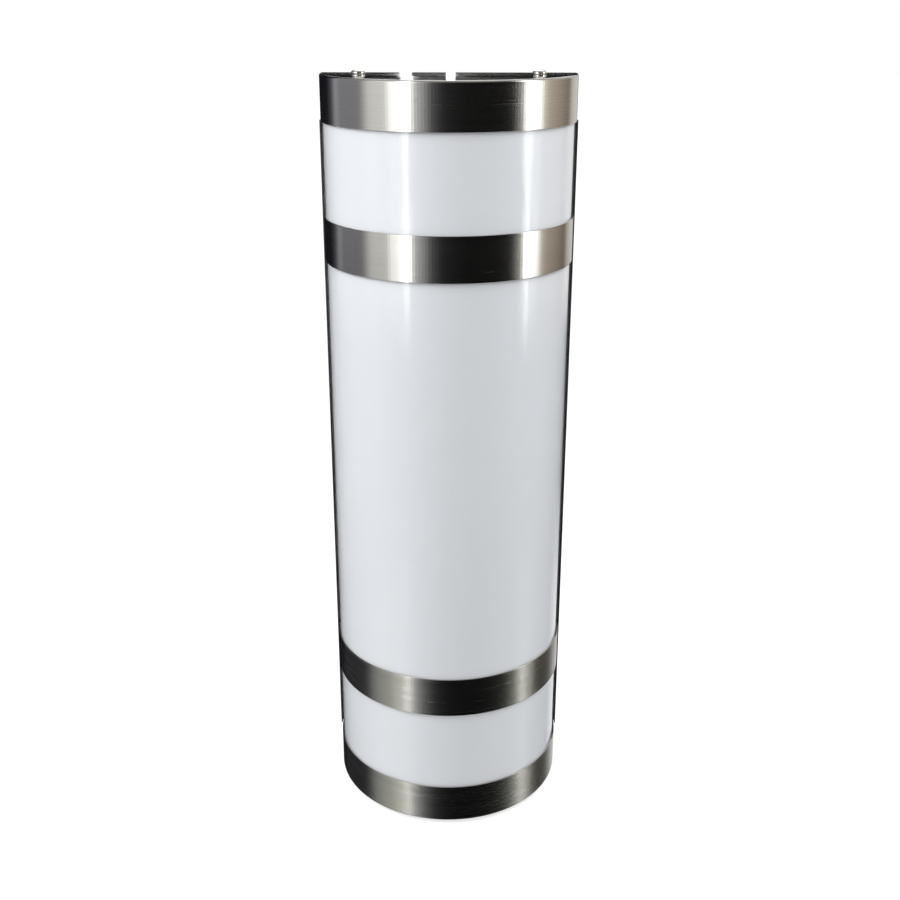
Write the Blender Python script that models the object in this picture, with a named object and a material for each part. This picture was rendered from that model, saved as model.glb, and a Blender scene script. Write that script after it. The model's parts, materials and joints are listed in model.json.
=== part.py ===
"""A half-round wall light: metal bands round an opal half tube, on a shallow back pan.

Two straight lamps stand inside, between turning holders, in front of the covered wiring.

Frame: metres, +Z up. The wall is the plane y = 0, the light stands out from it towards -Y, and the origin is
the centre of the pan's rear face. Left is -X, as seen by someone facing the light.
"""

import math

import bmesh
import bpy
from mathutils import Matrix, Vector

# Driving dimensions.
WIDTH = 0.165
HEIGHT = 0.508
BAND_HEIGHT = 0.0285
END_WINDOW_HEIGHT = 0.0595
SIDE_RUN = 0.0025
CLEARANCE = 0.0003

# Back pan.
PAN_SHEET = 0.0008
LIP_DEPTH = 0.005
FLANGE_DEPTH = 0.026
FLANGE_INSET = 0.0055
WIRE_HOLE_RADIUS = 0.011
WIRE_HOLE_HEIGHT = 0.024
BOX_SLOT_CENTRE = 0.040
BOX_SLOT_LENGTH = 0.017
BOX_SLOT_WIDTH = 0.0055
STUD_RADIUS = 0.002
STUD_SPARE = 0.0015

# Cover: bands, end caps and diffuser.
BAND_SHEET = 0.001
BAND_HOOK = 0.006
RIM_RADIUS = 0.0015
DIFFUSER_GAP = 0.0004
DIFFUSER_WALL = 0.003

# Cover screws and their nuts.
SCREW_INSET = 0.0265
SCREW_DEPTH = 0.018
SCREW_RADIUS = 0.002
SCREW_LENGTH = 0.010
SCREW_HEAD_RADIUS = 0.0044
SCREW_HEAD_HEIGHT = 0.0023
RECESS_WIDTH = 0.001
RECESS_SPAN = 0.005
RECESS_DEPTH = 0.0013
SLOT_CLEARANCE = 0.0006
CLINCH_RADIUS = 0.0036
CLINCH_HEIGHT = 0.004
NUT_FLATS = 0.007
NUT_HEIGHT = 0.003

# Lamps and their holders.
LAMP_RADIUS = 0.0127
LAMP_GLASS = 0.001
LAMP_DEPTH = 0.042
LAMP_AIR = 0.010
LAMP_END_ROOM = 0.0353
FERRULE_WALL = 0.0004
FERRULE_LENGTH = 0.008
FERRULE_FACE = 0.001
PIN_RADIUS = 0.001175
PIN_LENGTH = 0.0071
PIN_SPACING = 0.0127
HOLDER_GAP = 0.0005
HOLDER_HALF_WIDTH = 0.012
HOLDER_BACK = 0.014
HOLDER_THICKNESS = 0.012
ROTOR_RADIUS = 0.008
ROTOR_THICKNESS = 0.0094
BOSS_SIDE = 0.007
BOSS_LENGTH = 0.003
BRACKET_SHEET = 0.001
BRACKET_FOOT = 0.012
BRACKET_OVERHANG = 0.006
BRACKET_CREST = 0.006

# Wireway cover.
WIREWAY_INSET = 0.022
WIREWAY_FOOT = 0.010
WIREWAY_LEAN = 0.006
WIREWAY_DEPTH = 0.025
WIREWAY_END_ROOM = 0.007
WIREWAY_NUT_PITCH = 0.300

# Ballast, terminal block and earth.
BALLAST_LENGTH = 0.180
BALLAST_WIDTH = 0.030
BALLAST_DEPTH = 0.020
BALLAST_TOP = -0.012
BALLAST_EAR = 0.010
BALLAST_SHEET = 0.0008
BALLAST_BEVEL = 0.001
BLOCK_LENGTH = 0.034
BLOCK_WIDTH = 0.018
BLOCK_DEPTH = 0.014
BLOCK_SIDE = 0.024
BLOCK_CENTRE = 0.075
BLOCK_WAY = 0.0035
EARTH_SIDE = -0.022
EARTH_HEIGHT = 0.060
LUG_RADIUS = 0.004
LUG_SHEET = 0.0008
LUG_TAIL = 0.010
LUG_TAIL_WIDTH = 0.003
GROMMET_BORE = 0.008
GROMMET_FLANGE = 0.0025
GROMMET_FLANGE_DEPTH = 0.0015

# Leads.
LEAD_RADIUS = 0.001
LEAD_STEP = 0.006
LEAD_PITCH = 0.006
LEAD_SPREAD = 0.004
LEAD_STRAIGHT = 0.012
LEAD_SAG = 0.005
LEAD_LIFT = 0.004
LEAD_PASS = 0.022
LEAD_FAN = 0.060

# Facets.
ARC_SEGMENTS = 48
LAMP_SEGMENTS = 24
SMALL_SEGMENTS = 16
RIM_SEGMENTS = 3
DOME_SEGMENTS = 4

# Derived sizes.
HALF_WIDTH = WIDTH / 2
HALF_HEIGHT = HEIGHT / 2
PAN_FRONT = PAN_SHEET + CLEARANCE
BAND_RADIUS = HALF_WIDTH - PAN_SHEET - CLEARANCE
BAND_INNER = BAND_RADIUS - BAND_SHEET
CENTRE_DEPTH = PAN_FRONT + SIDE_RUN
DIFFUSER_RADIUS = BAND_INNER - DIFFUSER_GAP
DIFFUSER_INNER = DIFFUSER_RADIUS - DIFFUSER_WALL
DIFFUSER_REAR = PAN_FRONT + BAND_SHEET + CLEARANCE
DIFFUSER_HALF = HALF_HEIGHT - BAND_SHEET - CLEARANCE
PAN_HALF = HALF_HEIGHT - BAND_SHEET - CLEARANCE
FLANGE_HALF_WIDTH = BAND_RADIUS - BAND_HOOK - FLANGE_INSET
END_BAND_LOW = HALF_HEIGHT - BAND_HEIGHT
LIP_HALF = END_BAND_LOW - CLEARANCE
MIDDLE_BAND_HIGH = END_BAND_LOW - END_WINDOW_HEIGHT
MIDDLE_BAND_LOW = MIDDLE_BAND_HIGH - BAND_HEIGHT
SCREW_SIDE = HALF_WIDTH - SCREW_INSET
BORE_RADIUS = STUD_RADIUS + CLEARANCE
SCREW_BORE = SCREW_RADIUS + CLEARANCE
FERRULE_INNER = LAMP_RADIUS + CLEARANCE
FERRULE_RADIUS = FERRULE_INNER + FERRULE_WALL
LAMP_REACH = DIFFUSER_INNER - LAMP_AIR - FERRULE_RADIUS
LAMP_SIDE = math.sqrt(LAMP_REACH**2 - (LAMP_DEPTH - CENTRE_DEPTH) ** 2)
LAMP_HALF = HALF_HEIGHT - LAMP_END_ROOM
HOLDER_FACE = LAMP_HALF + HOLDER_GAP
HOLDER_END = HOLDER_FACE + HOLDER_THICKNESS
HOLDER_REAR = LAMP_DEPTH - HOLDER_BACK
ROTOR_FACE = HOLDER_FACE + CLEARANCE
ROTOR_END = ROTOR_FACE + ROTOR_THICKNESS
PIN_SLOT = 2 * (PIN_RADIUS + CLEARANCE)
PIN_SLOT_END = LAMP_HALF + PIN_LENGTH + HOLDER_GAP
BRACKET_FACE = HOLDER_END + CLEARANCE
BRACKET_HALF_WIDTH = LAMP_SIDE + HOLDER_HALF_WIDTH
WIREWAY_HALF_WIDTH = HALF_WIDTH - WIREWAY_INSET
WIREWAY_WALL_FOOT = WIREWAY_HALF_WIDTH - WIREWAY_FOOT
WIREWAY_CREST = WIREWAY_WALL_FOOT - WIREWAY_LEAN
WIREWAY_HALF = LAMP_HALF - WIREWAY_END_ROOM
WIREWAY_NUT_SIDE = WIREWAY_HALF_WIDTH - WIREWAY_FOOT / 2 + PAN_SHEET / 2
BALLAST_CENTRE = BALLAST_TOP - BALLAST_LENGTH / 2
BALLAST_BOTTOM = BALLAST_TOP - BALLAST_LENGTH
BALLAST_REAR = PAN_FRONT + BALLAST_SHEET + CLEARANCE
BALLAST_STUD_REACH = BALLAST_LENGTH / 2 + BALLAST_EAR / 2
LEAD_DEPTH = BALLAST_REAR + BALLAST_DEPTH / 2


def clear_scene():
    """Removes every object of the startup scene."""
    for existing in list(bpy.data.objects):
        bpy.data.objects.remove(existing, do_unlink=True)


def make_material(name, colour, roughness, metallic=0.0):
    """Returns a new Principled material."""
    made = bpy.data.materials.new(name)
    made.use_nodes = True
    made.diffuse_color = (*colour, 1.0)
    shader = made.node_tree.nodes["Principled BSDF"]
    shader.inputs["Base Color"].default_value = (*colour, 1.0)
    shader.inputs["Roughness"].default_value = roughness
    shader.inputs["Metallic"].default_value = metallic
    return made


def brushed_nickel(name):
    return make_material(name, (0.55, 0.53, 0.50), 0.32, 1.0)


def bright_steel(name):
    return make_material(name, (0.72, 0.71, 0.69), 0.25, 1.0)


def white_paint(name):
    return make_material(name, (0.86, 0.87, 0.86), 0.4)


def moulded_white(name):
    return make_material(name, (0.82, 0.82, 0.79), 0.45)


def zinc(name):
    return make_material(name, (0.62, 0.63, 0.64), 0.4, 1.0)


def opal_acrylic(name):
    return make_material(name, (0.93, 0.94, 0.95), 0.12)


def coated_glass(name):
    return make_material(name, (0.95, 0.95, 0.93), 0.2)


def black_rubber(name):
    return make_material(name, (0.03, 0.03, 0.03), 0.6)


def add_empty(name, place, parent=None):
    """Returns an empty at a world place."""
    made = bpy.data.objects.new(name, None)
    made.empty_display_size = 0.02
    bpy.context.scene.collection.objects.link(made)
    made.parent = parent
    made.location = Vector(place) - (parent.location if parent else Vector())
    return made


def link(made, parent, place):
    """Puts an object in the scene under its body's empty, at a world place."""
    bpy.context.scene.collection.objects.link(made)
    made.parent = parent
    made.location = Vector(place) - (parent.location if parent else Vector())
    return made


def add_piece(name, shape, finish, parent, place=(0, 0, 0)):
    """Turns a bmesh, drawn round its own origin, into a named object of one body."""
    bmesh.ops.remove_doubles(shape, verts=shape.verts, dist=1e-7)
    bmesh.ops.recalc_face_normals(shape, faces=shape.faces)
    mesh = bpy.data.meshes.new(name)
    shape.to_mesh(mesh)
    shape.free()
    mesh.shade_smooth()
    mesh.set_sharp_from_angle(angle=math.radians(35))
    mesh.materials.append(finish(name + "_finish"))
    return link(bpy.data.objects.new(name, mesh), parent, place)


def add_copy(name, original, parent, place, half_turn=False):
    """Adds another of a repeated piece, which shares its mesh."""
    made = link(bpy.data.objects.new(name, original.data), parent, place)
    if half_turn:
        made.rotation_euler = (0, math.pi, 0)
    return made


def apply_boolean(target, tool_shape, operation):
    """Cuts a helper shape out of an object's mesh, or joins it on."""
    mesh = bpy.data.meshes.new("helper")
    bmesh.ops.recalc_face_normals(tool_shape, faces=tool_shape.faces)
    tool_shape.to_mesh(mesh)
    tool_shape.free()
    helper = bpy.data.objects.new(target.name + "_" + operation.lower(), mesh)
    bpy.context.scene.collection.objects.link(helper)
    helper.parent = target
    helper.hide_render = True
    helper.display_type = "WIRE"
    modifier = target.modifiers.new(helper.name, "BOOLEAN")
    modifier.operation = operation
    modifier.object = helper
    modifier.solver = "EXACT"


def cut(target, tool_shape):
    apply_boolean(target, tool_shape, "DIFFERENCE")


def join(target, tool_shape):
    apply_boolean(target, tool_shape, "UNION")


def prism(outline, low, high):
    """A closed outline of (x, y) points, extruded along Z."""
    shape = bmesh.new()
    face = shape.faces.new([shape.verts.new((x, y, low)) for x, y in outline])
    extruded = bmesh.ops.extrude_face_region(shape, geom=[face])["geom"]
    risen = [item for item in extruded if isinstance(item, bmesh.types.BMVert)]
    bmesh.ops.translate(shape, verts=risen, vec=(0, 0, high - low))
    return shape


def cross_prism(outline, half_width):
    """A closed outline of (y, z) points, extruded along X to both sides of the middle."""
    shape = prism(outline, -half_width, half_width)
    turn = Matrix(((0, 0, 1, 0), (1, 0, 0, 0), (0, 1, 0, 0), (0, 0, 0, 1)))
    bmesh.ops.transform(shape, matrix=turn, verts=shape.verts)
    return shape


def block(low, high):
    """A box between two corners."""
    outline = [(low[0], low[1]), (high[0], low[1]), (high[0], high[1]), (low[0], high[1])]
    return prism(outline, low[2], high[2])


def turned(profile, segments, closed=False):
    """A profile of (radius, z) points, spun round Z. An open profile starts and ends on the axis."""
    shape = bmesh.new()
    points = [shape.verts.new((radius, 0, z)) for radius, z in profile]
    edges = [shape.edges.new(pair) for pair in zip(points, points[1:])]
    if closed:
        edges.append(shape.edges.new((points[-1], points[0])))
    turn = {"cent": (0, 0, 0), "axis": (0, 0, 1), "angle": 2 * math.pi, "steps": segments}
    bmesh.ops.spin(shape, geom=points + edges, use_merge=True, **turn)
    bmesh.ops.remove_doubles(shape, verts=shape.verts, dist=1e-7)
    return shape


def cylinder(radius, low, high, segments):
    return turned([(0, low), (radius, low), (radius, high), (0, high)], segments)


def ring(inner, outer, low, high, segments):
    return turned([(inner, low), (outer, low), (outer, high), (inner, high)], segments, closed=True)


def moved(shape, x=0.0, y=0.0, z=0.0):
    bmesh.ops.translate(shape, verts=shape.verts, vec=(x, y, z))
    return shape


def facing_front(shape):
    """Turns a shape drawn up Z so that it rises towards -Y instead."""
    bmesh.ops.rotate(shape, verts=shape.verts, cent=(0, 0, 0), matrix=Matrix.Rotation(math.pi / 2, 3, "X"))
    return shape


def flipped(shape, side):
    """Mirrors a shape in Z when the side is -1."""
    if side < 0:
        bmesh.ops.scale(shape, verts=shape.verts, vec=(1, 1, -1))
    return shape


def arc(radius, centre, start, end, segments):
    """Points along an arc, with both ends, in degrees from +X."""
    angles = (math.radians(start + (end - start) * step / segments) for step in range(segments + 1))
    return [(centre[0] + radius * math.cos(angle), centre[1] + radius * math.sin(angle)) for angle in angles]


def front_arc(radius):
    """The half round from the right side, by the front, to the left side."""
    return arc(radius, (0, -CENTRE_DEPTH), 0, -180, ARC_SEGMENTS)


def stadium(length, width, centre):
    """A level slot with round ends."""
    reach = (length - width) / 2
    right = arc(width / 2, (centre[0] + reach, centre[1]), -90, 90, SMALL_SEGMENTS // 2)
    left = arc(width / 2, (centre[0] - reach, centre[1]), 90, 270, SMALL_SEGMENTS // 2)
    return right + left


def band_outline():
    """A bent strip whose ends hook inwards behind the diffuser's edges."""
    rear = -PAN_FRONT
    hook = BAND_RADIUS - BAND_HOOK
    outside = [(BAND_RADIUS, rear), *front_arc(BAND_RADIUS), (-BAND_RADIUS, rear)]
    left_hook = [(-hook, rear), (-hook, rear - BAND_SHEET), (-BAND_INNER, rear - BAND_SHEET)]
    right_hook = [(BAND_INNER, rear - BAND_SHEET), (hook, rear - BAND_SHEET), (hook, rear)]
    return outside + left_hook + front_arc(BAND_INNER)[::-1] + right_hook


def cavity_outline():
    """The room inside a cap: the half round inside the sheet, and the way out between the hooks."""
    hook = BAND_RADIUS - BAND_HOOK
    front = -PAN_FRONT - BAND_SHEET
    left = [(-BAND_INNER, front), (-hook, front), (-hook, BAND_SHEET)]
    right = [(hook, BAND_SHEET), (hook, front), (BAND_INNER, front)]
    return front_arc(BAND_INNER) + left + right


def make_diffuser(parent):
    rear = -DIFFUSER_REAR
    outside = [(DIFFUSER_RADIUS, rear), *front_arc(DIFFUSER_RADIUS), (-DIFFUSER_RADIUS, rear)]
    inside = [(DIFFUSER_INNER, rear), *front_arc(DIFFUSER_INNER), (-DIFFUSER_INNER, rear)]
    shape = prism(outside + inside[::-1], -DIFFUSER_HALF, DIFFUSER_HALF)
    add_piece("diffuser", shape, opal_acrylic, parent)


def make_middle_bands(parent):
    for name, low, high in (
        ("upper_band", MIDDLE_BAND_LOW, MIDDLE_BAND_HIGH),
        ("lower_band", -MIDDLE_BAND_HIGH, -MIDDLE_BAND_LOW),
    ):
        add_piece(name, prism(band_outline(), low, high), brushed_nickel, parent)


def cap_solid():
    """The upper cap before it is hollowed: a half-round slab with its outer edge rolled over."""
    outline = [(BAND_RADIUS, -PAN_FRONT), *front_arc(BAND_RADIUS), (-BAND_RADIUS, -PAN_FRONT)]
    shape = prism(outline, END_BAND_LOW, HALF_HEIGHT)
    bmesh.ops.remove_doubles(shape, verts=shape.verts, dist=1e-7)

    def on_rim(edge):
        ends = [corner.co for corner in edge.verts]
        level = all(abs(end.z - HALF_HEIGHT) < 1e-6 for end in ends)
        rear = all(abs(end.y + PAN_FRONT) < 1e-6 for end in ends)
        return level and not rear

    rim = [edge for edge in shape.edges if on_rim(edge)]
    bmesh.ops.bevel(shape, geom=rim, offset=RIM_RADIUS, segments=RIM_SEGMENTS, profile=0.5, affect="EDGES")
    return shape


def screw_slot(x):
    """A slot in a cap's plate, open to the rear, that clears a cover screw."""
    half = SCREW_RADIUS + SLOT_CLEARANCE
    front = arc(half, (x, -SCREW_DEPTH), 0, -180, SMALL_SEGMENTS // 2)
    return prism([(x + half, BAND_SHEET), *front, (x - half, BAND_SHEET)], HALF_HEIGHT - 2 * BAND_SHEET,
                 HALF_HEIGHT + BAND_SHEET)


def make_end_caps(parent):
    for name, side in (("top_end_cap", 1), ("bottom_end_cap", -1)):
        cap = add_piece(name, flipped(cap_solid(), side), brushed_nickel, parent)
        cut(cap, flipped(prism(cavity_outline(), END_BAND_LOW - BAND_SHEET, HALF_HEIGHT - BAND_SHEET), side))
        for x in (-SCREW_SIDE, SCREW_SIDE):
            cut(cap, flipped(screw_slot(x), side))


def make_cover(parent):
    make_end_caps(parent)
    make_middle_bands(parent)
    make_diffuser(parent)


def pan_stud_places():
    """Each welded stud's (x, z) place and how far its thread stands out from the pan."""
    grip = NUT_HEIGHT + CLEARANCE + STUD_SPARE
    for x in (-WIREWAY_NUT_SIDE, WIREWAY_NUT_SIDE):
        for z in (-WIREWAY_NUT_PITCH / 2, WIREWAY_NUT_PITCH / 2):
            yield x, z, PAN_FRONT + PAN_SHEET + grip
    for z in (BALLAST_CENTRE - BALLAST_STUD_REACH, BALLAST_CENTRE + BALLAST_STUD_REACH):
        yield 0.0, z, PAN_FRONT + BALLAST_SHEET + grip
    yield BLOCK_SIDE, BLOCK_CENTRE, PAN_FRONT + BLOCK_DEPTH + grip
    yield EARTH_SIDE, EARTH_HEIGHT, PAN_FRONT + LUG_SHEET + grip


def make_back_pan(parent):
    """The pan: a back sheet with side lips between the end caps, end flanges, holes and welded studs."""
    lip_inner = HALF_WIDTH - PAN_SHEET
    outline = [
        (HALF_WIDTH, 0), (HALF_WIDTH, -LIP_DEPTH), (lip_inner, -LIP_DEPTH), (lip_inner, -PAN_SHEET),
        (-lip_inner, -PAN_SHEET), (-lip_inner, -LIP_DEPTH), (-HALF_WIDTH, -LIP_DEPTH), (-HALF_WIDTH, 0),
    ]
    pan = add_piece("back_pan", prism(outline, -PAN_HALF, PAN_HALF), brushed_nickel, parent)
    for low, high in ((-WIDTH, -BAND_RADIUS), (BAND_RADIUS, WIDTH)):
        for side in (-1, 1):
            cut(pan, flipped(block((low, -2 * LIP_DEPTH, LIP_HALF), (high, LIP_DEPTH, HEIGHT)), side))
    overlap = PAN_SHEET / 2
    for side in (-1, 1):
        flange = block((-FLANGE_HALF_WIDTH, -FLANGE_DEPTH, PAN_HALF - PAN_SHEET),
                       (FLANGE_HALF_WIDTH, -overlap, PAN_HALF))
        join(pan, flipped(flange, side))
    for x, z, reach in pan_stud_places():
        join(pan, moved(facing_front(cylinder(STUD_RADIUS, overlap, reach, SMALL_SEGMENTS)), x, 0, z))
    hole = facing_front(cylinder(WIRE_HOLE_RADIUS, -PAN_SHEET, 2 * PAN_SHEET, LAMP_SEGMENTS))
    cut(pan, moved(hole, z=WIRE_HOLE_HEIGHT))
    for x in (-BOX_SLOT_CENTRE, BOX_SLOT_CENTRE):
        slot = prism(stadium(BOX_SLOT_LENGTH, BOX_SLOT_WIDTH, (x, 0)), -PAN_SHEET, 2 * PAN_SHEET)
        cut(pan, facing_front(slot))
    for x in (-SCREW_SIDE, SCREW_SIDE):
        for side in (-1, 1):
            hole = cylinder(SCREW_BORE, PAN_HALF - 2 * PAN_SHEET, PAN_HALF + PAN_SHEET, SMALL_SEGMENTS)
            cut(pan, flipped(moved(hole, x, -SCREW_DEPTH), side))


def cover_screw_shape():
    """A pan-head screw that stands on its underside at z = 0, with its shank below."""
    rise = SCREW_HEAD_HEIGHT / SCREW_HEAD_RADIUS
    dome = [(x, y * rise) for x, y in arc(SCREW_HEAD_RADIUS, (0, 0), 0, 90, DOME_SEGMENTS)]
    shank = [(0, -SCREW_LENGTH), (SCREW_RADIUS, -SCREW_LENGTH), (SCREW_RADIUS, 0)]
    return turned([*shank, *dome[:-1], (0, SCREW_HEAD_HEIGHT)], SMALL_SEGMENTS)


def make_cover_screws(parent):
    """Four screws on the pan's flanges, and the clinched nuts that they run in."""
    first_screw = None
    first_nut = None
    nut_shape = ring(SCREW_BORE, CLINCH_RADIUS, -CLINCH_HEIGHT, 0, SMALL_SEGMENTS)
    for level, side in (("upper", 1), ("lower", -1)):
        for hand, x in (("left", -SCREW_SIDE), ("right", SCREW_SIDE)):
            head_place = (x, -SCREW_DEPTH, side * (HALF_HEIGHT + CLEARANCE))
            nut_place = (x, -SCREW_DEPTH, side * (PAN_HALF - PAN_SHEET - CLEARANCE))
            screw_name = f"cover_screw_{level}_{hand}"
            nut_name = f"cover_nut_{level}_{hand}"
            if first_screw is None:
                first_screw = add_piece(screw_name, cover_screw_shape(), bright_steel, parent, head_place)
                first_nut = add_piece(nut_name, nut_shape, zinc, parent, nut_place)
                copies = []
            else:
                copies = [(screw_name, first_screw, head_place), (nut_name, first_nut, nut_place)]
            for name, original, place in copies:
                add_copy(name, original, parent, place, half_turn=side < 0)
            cut_recess(bpy.data.objects[screw_name])


def cut_recess(screw):
    """Cuts the cross recess into a screw's head."""
    half_width = RECESS_WIDTH / 2
    half_span = RECESS_SPAN / 2
    low = SCREW_HEAD_HEIGHT - RECESS_DEPTH
    for half_x, half_y in ((half_width, half_span), (half_span, half_width)):
        cut(screw, block((-half_x, -half_y, low), (half_x, half_y, 2 * SCREW_HEAD_HEIGHT)))


def hex_nut_shape():
    """A hexagon nut that rises from z = 0, with its bore."""
    corner = NUT_FLATS / math.sqrt(3)
    return prism(arc(corner, (0, 0), 0, 300, 5), 0, NUT_HEIGHT)


def make_stud_nuts(parent):
    """One hexagon nut on each welded stud."""
    names = [
        "wireway_nut_lower_left", "wireway_nut_upper_left",
        "wireway_nut_lower_right", "wireway_nut_upper_right",
        "ballast_nut_lower", "ballast_nut_upper", "terminal_block_nut", "earth_nut",
    ]
    for name, (x, z, reach) in zip(names, pan_stud_places()):
        rear = reach - STUD_SPARE - NUT_HEIGHT
        nut = add_piece(name, facing_front(hex_nut_shape()), zinc, parent, (x, -rear, z))
        cut(nut, facing_front(cylinder(BORE_RADIUS, -NUT_HEIGHT, 2 * NUT_HEIGHT, SMALL_SEGMENTS)))


def make_wireway_cover(parent):
    """The white channel over the wiring, which is also the lamps' reflector."""
    rear = -PAN_FRONT
    front = -WIREWAY_DEPTH
    right = [
        (WIREWAY_HALF_WIDTH, rear), (WIREWAY_HALF_WIDTH, rear - PAN_SHEET),
        (WIREWAY_WALL_FOOT + PAN_SHEET, rear - PAN_SHEET), (WIREWAY_CREST + PAN_SHEET, front),
    ]
    inner_right = [
        (WIREWAY_CREST, front + PAN_SHEET), (WIREWAY_WALL_FOOT, rear),
    ]
    left = [(-x, y) for x, y in right[::-1]]
    inner_left = [(-x, y) for x, y in inner_right[::-1]]
    outline = right + left + inner_left + inner_right
    cover = add_piece("wireway_cover", prism(outline, -WIREWAY_HALF, WIREWAY_HALF), white_paint, parent)
    for x in (-WIREWAY_NUT_SIDE, WIREWAY_NUT_SIDE):
        for z in (-WIREWAY_NUT_PITCH / 2, WIREWAY_NUT_PITCH / 2):
            hole = facing_front(cylinder(BORE_RADIUS, 0, PAN_FRONT + 2 * PAN_SHEET, SMALL_SEGMENTS))
            cut(cover, moved(hole, x, 0, z))


def make_ballast(parent):
    """The ballast: a base with an ear at each end, and the can that stands on it."""
    half_width = BALLAST_WIDTH / 2
    half_base = BALLAST_LENGTH / 2 + BALLAST_EAR
    base_shape = block((-half_width, -BALLAST_SHEET, -half_base), (half_width, 0, half_base))
    base = add_piece("ballast_base", base_shape, zinc, parent, (0, -PAN_FRONT, BALLAST_CENTRE))
    for z in (-BALLAST_STUD_REACH, BALLAST_STUD_REACH):
        hole = facing_front(cylinder(BORE_RADIUS, -BALLAST_SHEET, 2 * BALLAST_SHEET, SMALL_SEGMENTS))
        cut(base, moved(hole, z=z))
    can_shape = block((-half_width, -BALLAST_DEPTH, -BALLAST_LENGTH / 2), (half_width, 0, BALLAST_LENGTH / 2))
    bmesh.ops.bevel(can_shape, geom=can_shape.edges[:], offset=BALLAST_BEVEL, segments=1, affect="EDGES")
    add_piece("ballast_can", can_shape, white_paint, parent, (0, -BALLAST_REAR, BALLAST_CENTRE))


def make_terminal_block(parent):
    half_width = BLOCK_WIDTH / 2
    half_length = BLOCK_LENGTH / 2
    shape = block((-half_width, -BLOCK_DEPTH, -half_length), (half_width, 0, half_length))
    body = add_piece("terminal_block", shape, moulded_white, parent, (BLOCK_SIDE, -PAN_FRONT, BLOCK_CENTRE))
    cut(body, facing_front(cylinder(BORE_RADIUS, -BLOCK_DEPTH, 2 * BLOCK_DEPTH, SMALL_SEGMENTS)))
    pitch = BLOCK_LENGTH / 4
    for step in (-1.5, -0.5, 0.5, 1.5):
        well = facing_front(cylinder(BLOCK_WAY / 2, BLOCK_DEPTH * 0.6, 2 * BLOCK_DEPTH, SMALL_SEGMENTS // 2))
        cut(body, moved(well, half_width - BLOCK_WAY, 0, step * pitch))


def make_earth_lug(parent):
    """The ring terminal under the earth nut, with its tail towards the ballast."""
    tail_half = LUG_TAIL_WIDTH / 2
    shape = ring(BORE_RADIUS, LUG_RADIUS, 0, LUG_SHEET, SMALL_SEGMENTS)
    lug = add_piece("earth_lug", facing_front(shape), zinc, parent, (EARTH_SIDE, -PAN_FRONT, EARTH_HEIGHT))
    ring_wall = (BORE_RADIUS + LUG_RADIUS) / 2
    join(lug, block((-tail_half, -LUG_SHEET, -LUG_RADIUS - LUG_TAIL), (tail_half, 0, -ring_wall)))


def make_grommet(parent):
    """The bush that lines the wire hole, flush with the wall side."""
    neck = WIRE_HOLE_RADIUS - CLEARANCE
    flange = WIRE_HOLE_RADIUS + GROMMET_FLANGE
    flange_front = PAN_FRONT + GROMMET_FLANGE_DEPTH
    profile = [
        (GROMMET_BORE, CLEARANCE), (neck, CLEARANCE), (neck, PAN_FRONT), (flange, PAN_FRONT),
        (flange, flange_front), (GROMMET_BORE, flange_front),
    ]
    shape = facing_front(turned(profile, LAMP_SEGMENTS, closed=True))
    add_piece("wire_grommet", shape, black_rubber, parent, (0, 0, WIRE_HOLE_HEIGHT))


def make_brackets(parent):
    """The plates that carry the lampholders, each with a foot on the pan."""
    for name, side in (("upper_bracket", 1), ("lower_bracket", -1)):
        outer = BRACKET_FACE + BRACKET_SHEET
        foot_front = -PAN_FRONT - BRACKET_SHEET
        crest = -LAMP_DEPTH - BRACKET_CREST
        outline = [
            (-PAN_FRONT, BRACKET_FACE), (-PAN_FRONT, BRACKET_FACE + BRACKET_FOOT),
            (foot_front, BRACKET_FACE + BRACKET_FOOT), (foot_front, outer),
            (crest, outer), (crest, BRACKET_FACE),
        ]
        shape = flipped(cross_prism(outline, BRACKET_HALF_WIDTH + BRACKET_OVERHANG), side)
        bracket = add_piece(name, shape, white_paint, parent)
        half = BOSS_SIDE / 2 + CLEARANCE
        for x in (-LAMP_SIDE, LAMP_SIDE):
            window = block((x - half, -LAMP_DEPTH - half, BRACKET_FACE - BRACKET_SHEET),
                           (x + half, -LAMP_DEPTH + half, outer + BRACKET_SHEET))
            cut(bracket, flipped(window, side))


def holder_shape():
    """An upper lampholder round its lamp's axis, open below and to the front."""
    front = arc(HOLDER_HALF_WIDTH, (0, 0), 0, -180, LAMP_SEGMENTS // 2)
    outline = [(HOLDER_HALF_WIDTH, HOLDER_BACK), *front, (-HOLDER_HALF_WIDTH, HOLDER_BACK)]
    return prism(outline, HOLDER_FACE, HOLDER_END)


def make_holder(name, side, parent, place):
    holder = add_piece(name, flipped(holder_shape(), side), moulded_white, parent, place)
    half_boss = BOSS_SIDE / 2
    boss = block((-half_boss, -half_boss, HOLDER_END - BOSS_LENGTH),
                 (half_boss, half_boss, BRACKET_FACE + BRACKET_SHEET + BOSS_LENGTH))
    join(holder, flipped(boss, side))
    mouth_low = HOLDER_FACE - HOLDER_GAP
    pocket = cylinder(ROTOR_RADIUS + CLEARANCE, mouth_low, ROTOR_END + CLEARANCE, LAMP_SEGMENTS)
    cut(holder, flipped(pocket, side))
    half_slot = PIN_SLOT / 2
    mouth = block((-half_slot, -2 * HOLDER_HALF_WIDTH, mouth_low), (half_slot, 0, PIN_SLOT_END))
    cut(holder, flipped(mouth, side))


def make_rotor(name, side, parent, place):
    """The turning core of a lampholder, with the slot that grips the pins."""
    rotor_shape = cylinder(ROTOR_RADIUS, ROTOR_FACE, ROTOR_END, LAMP_SEGMENTS)
    rotor = add_piece(name, flipped(rotor_shape, side), moulded_white, parent, place)
    half_slot = PIN_SLOT / 2
    reach = 2 * ROTOR_RADIUS
    slot = block((-reach, -half_slot, ROTOR_FACE - CLEARANCE), (reach, half_slot, PIN_SLOT_END))
    cut(rotor, flipped(slot, side))


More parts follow.
